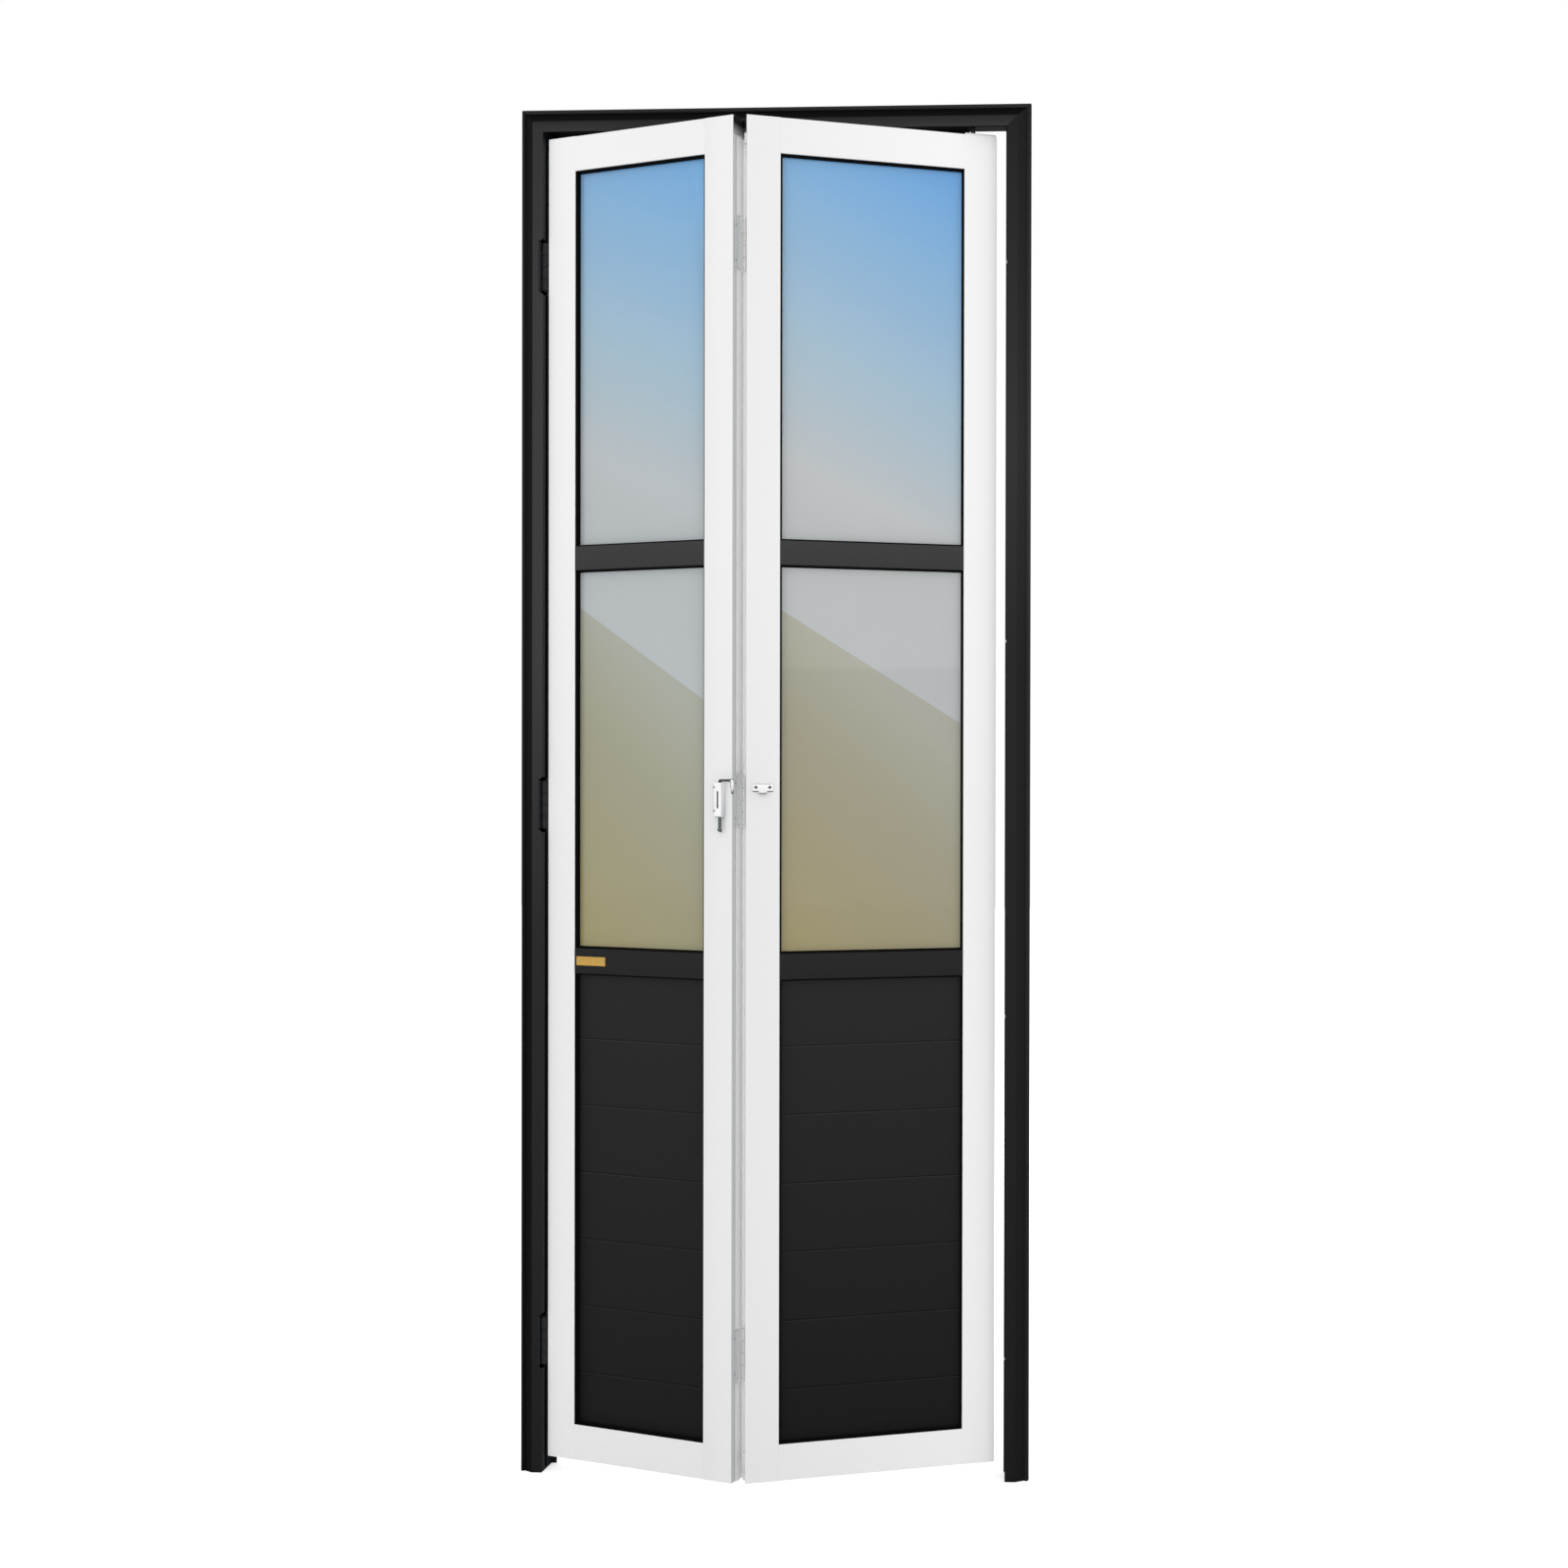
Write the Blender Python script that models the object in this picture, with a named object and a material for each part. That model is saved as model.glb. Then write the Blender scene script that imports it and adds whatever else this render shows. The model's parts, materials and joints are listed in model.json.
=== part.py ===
"""Two-leaf bifold door in a trimmed frame, built as separate solids.

Metres, +Z up, X to the right and Y away from the viewer. The origin is the lower corner of the wall
opening on the hinge side: x = 0 is the face of the hinge jamb that meets the wall, y = 0 is the front
plane of the wall, which the trim covers, and z = 0 is the floor. The door stands partly folded, with
its fold towards the viewer. Each leaf is modelled shut, in the frame of the axis that it turns about.
"""

import math

import bmesh
import bpy
from mathutils import Vector

# Wall opening and the trim that overlaps the wall round it
OPENING_WIDTH = 0.780
OPENING_HEIGHT = 2.120
TRIM_OVERLAP = 0.010
TRIM_DEPTH = 0.0145
TRIM_WALL = 0.0016
TRIM_FLAT = 0.016
TRIM_DROP = 0.0070
TRIM_GROOVE = 0.0010
BEAD_RADIUS = 0.0033
BEAD_RISE = 0.0015
BEAD_STEPS = 6

# Jambs and head, extruded, with a step behind the trim and a stop at the back
JAMB_FACE = 0.026
JAMB_STEP = 0.015
JAMB_STEP_LEAD = 0.0020
JAMB_WALL = 0.0015
FRAME_DEPTH = 0.0435
STOP_REACH = 0.0075
STOP_THICKNESS = 0.0020
HEAD_RISE = 0.006

# Track inside the head
TRACK_WALL = 0.0015
TRACK_HEIGHT = 0.011
TRACK_PLAY = 0.0010

# Clearances
FIT_GAP = 0.0003
KNUCKLE_GAP = 0.0004
CUT_OVERRUN = 0.002

# Leaves
REST_FOLD = math.radians(17.0)
WIDEST_FOLD = math.radians(75.0)
LEAF_THICKNESS = 0.025
LEAF_SETBACK = 0.010
FLOOR_GAP = 0.024
HEAD_GAP = 0.010
HINGE_SIDE_GAP = 0.007
FOLD_GAP = 0.0035
LOCK_SIDE_GAP = 0.005
GUIDE_INSET = 0.036
GUIDE_SETBACK = 0.0065
STILE_WIDTH = 0.050
TOP_RAIL = 0.054
UPPER_MID_RAIL = 0.037
LOWER_MID_RAIL = 0.039
BOTTOM_RAIL = 0.055
PANEL_HEIGHT = 0.704
LOWER_GLASS_HEIGHT = 0.588
LEAF_WALL = 0.0013
EDGE_RADIUS = 0.0010
GLASS_THICKNESS = 0.005
GROOVE_DEPTH = 0.008

# Rounded nose along the fold edge of the first leaf, which hides the gap and stops at each hinge
NOSE_SETBACK = 0.010
NOSE_BACK_MARGIN = 0.0015
NOSE_RISE = 0.0026
NOSE_TOP_GAP = 0.030
NOSE_HINGE_CLEARANCE = 0.001
NOSE_STEPS = 8
TUBE_STEPS = 14

# Slats of the lower panel, folded from sheet and laid edge to edge
SLATS = 7
TOP_SLAT_EXTRA_SHARE = 0.055
BOTTOM_SLAT_CUT_SHARE = 0.16
SLAT_WALL = 0.0012
SLAT_CHAMFER = 0.0013

# Hinges
HINGE_INSET = 0.190
JAMB_HINGE_DROP = 0.009
KNUCKLES = 4
ROUND_SIDES = 20
JAMB_HINGE_HEIGHT = 0.072
JAMB_KNUCKLE_RADIUS = 0.006
JAMB_AXIS_SINK = 0.001
JAMB_PLATE = 0.0020
JAMB_PLATE_REACH = 0.022
JAMB_PIN_RADIUS = 0.0020
JAMB_PIN_HEAD_RADIUS = 0.0042
JAMB_PIN_HEAD = 0.0015
NOTCH_CLEARANCE = 0.0006
NOTCH_FLARE = 0.0055
FOLD_HINGE_HEIGHT = 0.074
FOLD_KNUCKLE_RADIUS = 0.0045
FOLD_AXIS_CLEARANCE = 0.0005
FOLD_PLATE = 0.0012
FOLD_PLATE_REACH = 0.021
FOLD_PIN_RADIUS = 0.0018
FOLD_PIN_HEAD_RADIUS = 0.0036
FOLD_PIN_HEAD = 0.0032
HEAD_STEPS = 4

# Fold latch on the first leaf: housing, sliding collar with its stud, and the hooked rod
LATCH_INSET = 0.0172
LATCH_BOTTOM = 1.029
LATCH_HEIGHT = 0.052
LATCH_WIDTH = 0.020
LATCH_FLANGE = 0.0034
LATCH_BARREL = 0.0112
LATCH_CHEEK = 0.0095
LATCH_DEPTH = 0.0125
LATCH_FRONT_STEPS = 12
ROD_STANDOFF = 0.0062
ROD_RADIUS = 0.0025
ROD_TAIL = 0.0226
ROD_TAIL_KNOB = 0.0050
ROD_KNOB_RADIUS = 0.0034
ROD_BEND = 0.0042
BEND_STEPS = 5
ARM_CLEARANCE = 0.0009
HOOK_DROP = 0.0205
HOOK_TIP_RADIUS = 0.0016
ROD_TRAVEL = 0.016
ROD_SWING_AT_REST = math.radians(33.0)
COLLAR_RADIUS = 0.0044
COLLAR_HEIGHT = 0.008
CHAMBER_END_WALL = 0.005
STUD_RADIUS = 0.0012
STUD_PROUD = 0.0005
SLOT_CLEARANCE = 0.0003

# Keeper on the second leaf
KEEPER_INSET = 0.025
KEEPER_WIDTH = 0.030
KEEPER_HEIGHT = 0.0118
KEEPER_PLATE = 0.0020
KEEPER_TAB_WIDTH = 0.013
KEEPER_TAB_REACH = 0.0110
KEEPER_TAB_THICKNESS = 0.0020
KEEPER_TAB_DROP = 0.0032
KEEPER_TAB_STEPS = 12
KEEPER_HOLE_RADIUS = 0.0036
HOOK_ENGAGEMENT = 0.0030

# Top guide of the second leaf
GUIDE_FLANGE = 0.0022
GUIDE_PLUG_DEPTH = 0.025
GUIDE_EDGE_MARGIN = 0.0015
GUIDE_POST_RADIUS = 0.0038
GUIDE_SPINDLE_RADIUS = 0.0025
ROLLER_RADIUS = 0.0055
ROLLER_HEIGHT = 0.0070
ROLLER_CLEARANCE = 0.0010
GUIDE_CAP_RADIUS = 0.0042
GUIDE_CAP = 0.0010

# Places that follow from the sizes above
FRONT = -TRIM_DEPTH
TRIM_WIDTH = JAMB_FACE + TRIM_OVERLAP
INNER_LEFT = JAMB_FACE
INNER_RIGHT = OPENING_WIDTH - JAMB_FACE
INNER_TOP = OPENING_HEIGHT - JAMB_FACE
HEAD_UNDERSIDE = INNER_TOP + HEAD_RISE
LEAF_TOP = INNER_TOP - HEAD_GAP
LEAF_MIDDLE = (FLOOR_GAP + LEAF_TOP) / 2
FOLD_HINGE_HEIGHTS = (FLOOR_GAP + HINGE_INSET, LEAF_MIDDLE, LEAF_TOP - HINGE_INSET)
JAMB_HINGE_HEIGHTS = tuple(height - JAMB_HINGE_DROP for height in FOLD_HINGE_HEIGHTS)
AXIS_SETBACK = LEAF_SETBACK + JAMB_AXIS_SINK
JAMB_AXIS = Vector((INNER_LEFT, FRONT + AXIS_SETBACK, 0))
FOLD_AXIS_BEHIND = FOLD_KNUCKLE_RADIUS + FOLD_AXIS_CLEARANCE
DOOR_WIDTH = INNER_RIGHT - INNER_LEFT - HINGE_SIDE_GAP - LOCK_SIDE_GAP
LEAF_1_WIDTH = (DOOR_WIDTH - FOLD_GAP - HINGE_SIDE_GAP - GUIDE_INSET) / 2
LEAF_2_WIDTH = DOOR_WIDTH - FOLD_GAP - LEAF_1_WIDTH
AXIS_SPACING = HINGE_SIDE_GAP + LEAF_1_WIDTH + FOLD_GAP / 2
LEAF_1_FACE = -JAMB_AXIS_SINK
LEAF_2_FACE = -(LEAF_THICKNESS + FOLD_AXIS_BEHIND)
FOLD_AXIS = Vector((AXIS_SPACING, LEAF_THICKNESS + FOLD_AXIS_BEHIND - JAMB_AXIS_SINK, 0))
GROOVE_WIDTH = GLASS_THICKNESS + 2 * FIT_GAP
GUIDE_OFFSET = GUIDE_SETBACK - JAMB_AXIS_SINK
TRACK_FRONT = AXIS_SETBACK + GUIDE_OFFSET * math.cos(WIDEST_FOLD)
TRACK_BACK = AXIS_SETBACK + GUIDE_OFFSET
LATCH_TOP = LATCH_BOTTOM + LATCH_HEIGHT
ARM_HEIGHT = LATCH_TOP + ARM_CLEARANCE + ROD_RADIUS
ARM_LENGTH = LATCH_INSET + FOLD_GAP + KEEPER_INSET
TAB_TOP = ARM_HEIGHT - HOOK_DROP + HOOK_ENGAGEMENT + KEEPER_TAB_THICKNESS


def clear_scene():
    for obj in list(bpy.data.objects):
        bpy.data.objects.remove(obj, do_unlink=True)


def paint(name, color, roughness, metallic=0.0, transmission=0.0):
    """A plain Principled material."""
    mat = bpy.data.materials.new(name)
    mat.use_nodes = True
    shader = mat.node_tree.nodes["Principled BSDF"]
    shader.inputs["Base Color"].default_value = (*color, 1.0)
    shader.inputs["Roughness"].default_value = roughness
    shader.inputs["Metallic"].default_value = metallic
    shader.inputs["Transmission Weight"].default_value = transmission
    return mat


def add_object(name, mesh, mat, parent=None, location=(0, 0, 0)):
    obj = bpy.data.objects.new(name, mesh)
    bpy.context.scene.collection.objects.link(obj)
    obj.parent = parent
    obj.location = location
    if mat and not mesh.materials:
        mesh.materials.append(mat)
    return obj


def axis(name, location, turn, parent=None):
    """An empty on a joint's axis, which carries the pieces that turn about it."""
    empty = bpy.data.objects.new(name, None)
    bpy.context.scene.collection.objects.link(empty)
    empty.parent = parent
    empty.location = location
    empty.rotation_euler = (0, 0, turn)
    return empty


def round_shading(mesh, limit=math.radians(40)):
    mesh.shade_smooth()
    mesh.set_sharp_from_angle(angle=limit)


def rectangle(x0, y0, x1, y1):
    return [(x0, y0), (x1, y0), (x1, y1), (x0, y1)]


def circle(radius, x=0.0, y=0.0, sides=ROUND_SIDES):
    turn = 2 * math.pi / sides
    return [(x + radius * math.cos(i * turn), y + radius * math.sin(i * turn)) for i in range(sides)]


def eased(points, radius, corners):
    """The outline with the listed right-angled corners rounded, three points to each."""
    result = []
    for i, point in enumerate(points):
        p = Vector(point)
        if i not in corners:
            result.append(tuple(p))
            continue
        before = (Vector(points[i - 1]) - p).normalized() * radius
        after = (Vector(points[(i + 1) % len(points)]) - p).normalized() * radius
        middle = (before + after) * (1 - math.sqrt(0.5))
        result += [tuple(p + before), tuple(p + middle), tuple(p + after)]
    return result


def solid_mesh(bm):
    """The mesh of a closed body, with its faces turned outwards."""
    bmesh.ops.recalc_face_normals(bm, faces=bm.faces[:])
    if bm.calc_volume(signed=True) < 0:
        bmesh.ops.reverse_faces(bm, faces=bm.faces[:])
    mesh = bpy.data.meshes.new("solid")
    bm.to_mesh(mesh)
    bm.free()
    return mesh


def prism(loops, start, end, place, smooth=False):
    """A mesh extruded from flat loops, the first outside and the rest holes.

    start and end give where each section point begins and ends along the length, as a number or a
    function of the point, and place turns section point and length into a position.
    """
    bm = bmesh.new()
    edges = []
    for loop in loops:
        verts = [bm.verts.new((p, q, 0)) for p, q in loop]
        edges += [bm.edges.new((verts[i - 1], verts[i])) for i in range(len(verts))]
    bmesh.ops.triangle_fill(bm, use_beauty=True, use_dissolve=False, edges=edges, normal=(0, 0, 1))
    near = list(bm.verts)
    extruded = bmesh.ops.extrude_face_region(bm, geom=bm.faces[:])
    far = [item for item in extruded["geom"] if isinstance(item, bmesh.types.BMVert)]
    for verts, reach in ((near, start), (far, end)):
        for vert in verts:
            p, q = vert.co.x, vert.co.y
            vert.co = Vector(place(p, q, reach(p, q) if callable(reach) else reach))
    mesh = solid_mesh(bm)
    if smooth:
        round_shading(mesh)
    return mesh


def upright(p, q, s):
    """Section in plan, length up."""
    return (p, q, s)


def box(x0, x1, y0, y1, z0, z1):
    return prism([rectangle(x0, y0, x1, y1)], z0, z1, upright)


def cylinder(radius, z0, z1, x=0.0, y=0.0):
    return prism([circle(radius, x, y)], z0, z1, upright, smooth=True)


def turned(profile, sides=ROUND_SIDES):
    """A closed solid turned about Z from (radius, z) points that start and end on the axis."""
    bm = bmesh.new()
    verts = [bm.verts.new((r, 0, z)) for r, z in profile]
    edges = [bm.edges.new(pair) for pair in zip(verts, verts[1:])]
    bmesh.ops.spin(
        bm, geom=verts + edges, cent=(0, 0, 0), axis=(0, 0, 1), angle=2 * math.pi, steps=sides, use_merge=True
    )
    bmesh.ops.remove_doubles(bm, verts=bm.verts[:], dist=FIT_GAP / 10)
    mesh = solid_mesh(bm)
    round_shading(mesh)
    return mesh


def combined(base, added=(), cut=()):
    """The mesh of base joined with the added meshes, less the cut ones."""
    body = add_object("body", base, None)
    tools = []
    for operation, meshes in (("UNION", added), ("DIFFERENCE", cut)):
        for mesh in meshes:
            tool = add_object("tool", mesh, None)
            modifier = body.modifiers.new(operation, "BOOLEAN")
            modifier.operation = operation
            modifier.object = tool
            tools.append(tool)
    evaluated = body.evaluated_get(bpy.context.evaluated_depsgraph_get())
    mesh = bpy.data.meshes.new_from_object(evaluated)
    for obj in [body, *tools]:
        bpy.data.objects.remove(obj, do_unlink=True)
    mesh.materials.clear()
    return mesh


# Frame

def trim_section():
    """Outline of the trim: u runs outwards from its inner edge, q back from its front plane."""
    centre_u = TRIM_WIDTH - BEAD_RADIUS
    centre_q = TRIM_DROP - BEAD_RISE + BEAD_RADIUS
    foot = math.pi - math.asin((centre_q - TRIM_DROP) / BEAD_RADIUS)
    angles = [foot * (1 - i / BEAD_STEPS) for i in range(BEAD_STEPS + 1)]

    def arc(radius):
        return [(centre_u + radius * math.cos(a), centre_q - radius * math.sin(a)) for a in angles]

    slope_end = arc(BEAD_RADIUS)[0][0] - TRIM_GROOVE
    front = [(0, 0), (TRIM_FLAT, 0), (slope_end, TRIM_DROP)]
    outside = [(TRIM_WIDTH, TRIM_DEPTH), (TRIM_WIDTH - TRIM_WALL, TRIM_DEPTH)]
    back = [(slope_end, TRIM_DROP + TRIM_WALL), (TRIM_FLAT, TRIM_WALL), (0, TRIM_WALL)]
    return front + arc(BEAD_RADIUS) + outside + arc(BEAD_RADIUS - TRIM_WALL)[::-1] + back


def frame_side(sign):
    """Places a section on the left (-1) or right (1) side of the frame."""
    inner = INNER_LEFT if sign < 0 else INNER_RIGHT
    return lambda u, q, s: (inner + sign * u, FRONT + q, s)


def across(u, q, s):
    """Places a section over the opening, with its length along X."""
    return (s, FRONT + q, INNER_TOP + u)


def hinge_notches(depth_from, depth_to):
    """Flared openings in the frame's inner edge, one round each jamb knuckle."""
    half = JAMB_HINGE_HEIGHT / 2 + JAMB_PIN_HEAD + NOTCH_CLEARANCE
    reach = JAMB_KNUCKLE_RADIUS + NOTCH_CLEARANCE
    mouth = half + NOTCH_FLARE
    cuts = []
    for height in JAMB_HINGE_HEIGHTS:
        outline = [
            (INNER_LEFT - reach, height - half), (INNER_LEFT - reach, height + half),
            (INNER_LEFT, height + mouth), (INNER_LEFT + CUT_OVERRUN, height + mouth),
            (INNER_LEFT + CUT_OVERRUN, height - mouth), (INNER_LEFT, height - mouth),
        ]
        cuts.append(prism([outline], depth_from, depth_to, lambda p, q, s: (p, FRONT + s, q)))
    return cuts


def build_trims(mat):
    section = trim_section()
    top = lambda u, q: INNER_TOP + u - FIT_GAP / 2
    left = prism([section], 0, top, frame_side(-1), smooth=True)
    left = combined(left, cut=hinge_notches(-CUT_OVERRUN, TRIM_WALL + CUT_OVERRUN))
    add_object("trim_left", left, mat)
    add_object("trim_right", prism([section], 0, top, frame_side(1), smooth=True), mat)
    start = lambda u, q: INNER_LEFT - u + FIT_GAP / 2
    end = lambda u, q: INNER_RIGHT + u - FIT_GAP / 2
    add_object("trim_head", prism([section], start, end, across, smooth=True), mat)


def jamb_loops():
    front = TRIM_WALL + FIT_GAP
    step = TRIM_DEPTH - JAMB_STEP_LEAD
    back = FRAME_DEPTH
    wall = JAMB_WALL
    outer = [
        (0, front), (JAMB_STEP, front), (JAMB_STEP, step), (JAMB_FACE, step), (JAMB_FACE, back),
        (-STOP_REACH, back), (-STOP_REACH, back - STOP_THICKNESS), (0, back - STOP_THICKNESS),
    ]
    hollow = [
        (wall, front + wall), (JAMB_STEP - wall, front + wall), (JAMB_STEP - wall, step + wall),
        (JAMB_FACE - wall, step + wall), (JAMB_FACE - wall, back - wall), (wall, back - wall),
    ]
    return [outer, hollow]


def head_loops():
    """Section over the door: a slotted track at the front and a closed chamber behind it."""
    low = HEAD_RISE
    front = TRIM_WALL + FIT_GAP
    step = TRIM_DEPTH - JAMB_STEP_LEAD
    wall = TRACK_WALL
    slot = (TRACK_FRONT - GUIDE_POST_RADIUS - TRACK_PLAY, TRACK_BACK + GUIDE_POST_RADIUS + TRACK_PLAY)
    room = (TRACK_FRONT - ROLLER_RADIUS - TRACK_PLAY, TRACK_BACK + ROLLER_RADIUS + TRACK_PLAY)
    ceiling = low + wall + TRACK_HEIGHT
    shoulder = max(JAMB_STEP + wall, ceiling + wall)
    outer = [
        (low, slot[0]), (low, front), (JAMB_STEP, front), (JAMB_STEP, room[0] - wall),
        (shoulder, room[0] - wall), (shoulder, step), (JAMB_FACE, step), (JAMB_FACE, FRAME_DEPTH),
        (low, FRAME_DEPTH), (low, slot[1]), (low + wall, slot[1]), (low + wall, room[1]),
        (ceiling, room[1]), (ceiling, room[0]), (low + wall, room[0]),
        (low + wall, slot[0]),
    ]
    chamber = rectangle(low + wall, room[1] + wall, JAMB_FACE - wall, FRAME_DEPTH - wall)
    return [outer, chamber]


def build_frame(mat):
    stop_top = box(
        INNER_LEFT, INNER_RIGHT, FRONT, FRONT + FRAME_DEPTH + CUT_OVERRUN,
        HEAD_UNDERSIDE - FIT_GAP, OPENING_HEIGHT + CUT_OVERRUN,
    )
    trim_room = box(
        -CUT_OVERRUN, OPENING_WIDTH + CUT_OVERRUN, FRONT, -JAMB_STEP_LEAD,
        INNER_TOP + JAMB_STEP, OPENING_HEIGHT + CUT_OVERRUN,
    )
    sweep = AXIS_SETBACK + JAMB_KNUCKLE_RADIUS + NOTCH_CLEARANCE
    left = prism(jamb_loops(), 0, OPENING_HEIGHT, frame_side(-1))
    left = combined(left, cut=[stop_top, trim_room, *hinge_notches(TRIM_WALL, sweep)])
    add_object("jamb_left", left, mat)
    right = prism(jamb_loops(), 0, OPENING_HEIGHT, frame_side(1))
    add_object("jamb_right", combined(right, cut=[stop_top, trim_room]), mat)
    head = prism(head_loops(), INNER_LEFT + FIT_GAP, INNER_RIGHT - FIT_GAP, across)
    add_object("head_track", head, mat)


# Hinges

def hinge_half(height, radius, pin_radius, plate, reach, direction, knuckles):
    """Half of a butt hinge about its own axis, with its plate between x = plate[0] and plate[1].

    direction is 1 where the plate runs back from the axis and -1 where it runs forward.
    """
    pitch = height / KNUCKLES
    near = radius + FIT_GAP
    joints = []
    for k in knuckles:
        z0 = -height / 2 + k * pitch + KNUCKLE_GAP / 2
        z1 = z0 + pitch - KNUCKLE_GAP
        joints.append(cylinder(radius, z0, z1))
        joints.append(box(*plate, *sorted((0, direction * (near + KNUCKLE_GAP))), z0, z1))
    leaf = box(*plate, *sorted((direction * near, direction * reach)), -height / 2, height / 2)
    bore = cylinder(pin_radius + FIT_GAP, -height, height)
    mesh = combined(leaf, added=joints, cut=[bore])
    round_shading(mesh)
    return mesh


def hinge_pin(height, radius, head_radius, head, domed):
    """A pin with a head at each end, domed or flat."""
    end = height / 2 + FIT_GAP
    if domed:
        quarter = [math.pi / 2 * i / HEAD_STEPS for i in range(HEAD_STEPS + 1)]
        cap = [(head_radius * math.cos(a), end + head * math.sin(a)) for a in quarter[:-1]]
    else:
        cap = [(head_radius, end), (head_radius, end + head)]
    upper = [(radius, end), *cap]
    lower = [(r, -z) for r, z in reversed(upper)]
    return turned([(0, -end - head), *lower, *upper, (0, end + head)])


def build_jamb_hinges(leaf_1, black):
    frame_plate = (FIT_GAP, FIT_GAP + JAMB_PLATE)
    leaf_plate = (HINGE_SIDE_GAP - FIT_GAP - JAMB_PLATE, HINGE_SIDE_GAP - FIT_GAP)
    sizes = (JAMB_HINGE_HEIGHT, JAMB_KNUCKLE_RADIUS, JAMB_PIN_RADIUS)
    fixed = hinge_half(*sizes, frame_plate, JAMB_PLATE_REACH, 1, range(1, KNUCKLES, 2))
    turning = hinge_half(*sizes, leaf_plate, JAMB_PLATE_REACH, 1, range(0, KNUCKLES, 2))
    pin = hinge_pin(JAMB_HINGE_HEIGHT, JAMB_PIN_RADIUS, JAMB_PIN_HEAD_RADIUS, JAMB_PIN_HEAD, False)
    for name, height in zip(("bottom", "middle", "top"), JAMB_HINGE_HEIGHTS):
        place = JAMB_AXIS + Vector((0, 0, height))
        add_object(f"jamb_hinge_{name}_frame_half", fixed, black, location=place)
        add_object(f"jamb_hinge_{name}_pin", pin, black, location=place)
        add_object(f"jamb_hinge_{name}_leaf_half", turning, black, leaf_1, (0, 0, height))


def build_fold_hinges(leaf_1, leaf_2, white):
    far = FOLD_GAP / 2 - FIT_GAP
    plates = ((-far, FOLD_PLATE - far), (far - FOLD_PLATE, far))
    sizes = (FOLD_HINGE_HEIGHT, FOLD_KNUCKLE_RADIUS, FOLD_PIN_RADIUS)
    reach = FOLD_AXIS_BEHIND + FOLD_PLATE_REACH
    left = hinge_half(*sizes, plates[0], reach, -1, range(1, KNUCKLES, 2))
    right = hinge_half(*sizes, plates[1], reach, -1, range(0, KNUCKLES, 2))
    pin = hinge_pin(FOLD_HINGE_HEIGHT, FOLD_PIN_RADIUS, FOLD_PIN_HEAD_RADIUS, FOLD_PIN_HEAD, True)
    for name, height in zip(("bottom", "middle", "top"), FOLD_HINGE_HEIGHTS):
        place = FOLD_AXIS + Vector((0, 0, height))
        add_object(f"fold_hinge_{name}_leaf_1_half", left, white, leaf_1, place)
        add_object(f"fold_hinge_{name}_pin", pin, white, leaf_1, place)
        add_object(f"fold_hinge_{name}_leaf_2_half", right, white, leaf_2, (0, 0, height))


# Leaves

def bar_loops(width, groove_low, groove_high):
    """Hollow leaf section: s across its width, t back from its face, grooved on the sides asked for."""
    groove_front = (LEAF_THICKNESS - GROOVE_WIDTH) / 2
    groove_back = groove_front + GROOVE_WIDTH
    wall = LEAF_WALL

    def outline(inset, groove_inset):
        left = [(inset, inset)]
        if groove_low:
            left = [
                (inset, groove_back + groove_inset),
                (GROOVE_DEPTH + groove_inset, groove_back + groove_inset),
                (GROOVE_DEPTH + groove_inset, groove_front - groove_inset),
                (inset, groove_front - groove_inset),
                (inset, inset),
            ]
        right = [(width - inset, inset)]
        if groove_high:
            right += [
                (width - inset, groove_front - groove_inset),
                (width - GROOVE_DEPTH - groove_inset, groove_front - groove_inset),
                (width - GROOVE_DEPTH - groove_inset, groove_back + groove_inset),
                (width - inset, groove_back + groove_inset),
            ]
        back = [(width - inset, LEAF_THICKNESS - inset), (inset, LEAF_THICKNESS - inset)]
        return left + right + back

    outer = outline(0, 0)
    corner_points = ((0, 0), (width, 0), (width, LEAF_THICKNESS), (0, LEAF_THICKNESS))
    corners = [outer.index(point) for point in corner_points]
    return [eased(outer, EDGE_RADIUS, corners), outline(wall, wall)]


def rail_levels():
    """Bottom and top of each rail above the floor, by name."""
    panel_top = FLOOR_GAP + BOTTOM_RAIL + PANEL_HEIGHT
    glass_top = panel_top + LOWER_MID_RAIL + LOWER_GLASS_HEIGHT
    return {
        "bottom_rail": (FLOOR_GAP, FLOOR_GAP + BOTTOM_RAIL),
        "lower_mid_rail": (panel_top, panel_top + LOWER_MID_RAIL),
        "upper_mid_rail": (glass_top, glass_top + UPPER_MID_RAIL),
        "top_rail": (LEAF_TOP - TOP_RAIL, LEAF_TOP),
    }


def slat_section(height):
    """One slat folded from sheet: r up its height, t back from its face."""
    wall = SLAT_WALL
    return [
        (0, SLAT_CHAMFER), (SLAT_CHAMFER, 0), (height - SLAT_CHAMFER, 0), (height, SLAT_CHAMFER),
        (height, GLASS_THICKNESS), (height - wall, GLASS_THICKNESS), (height - wall, SLAT_CHAMFER + wall / 2),
        (height - SLAT_CHAMFER - wall / 2, wall),
        (SLAT_CHAMFER + wall / 2, wall), (wall, SLAT_CHAMFER + wall / 2),
        (wall, GLASS_THICKNESS), (0, GLASS_THICKNESS),
    ]


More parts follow.
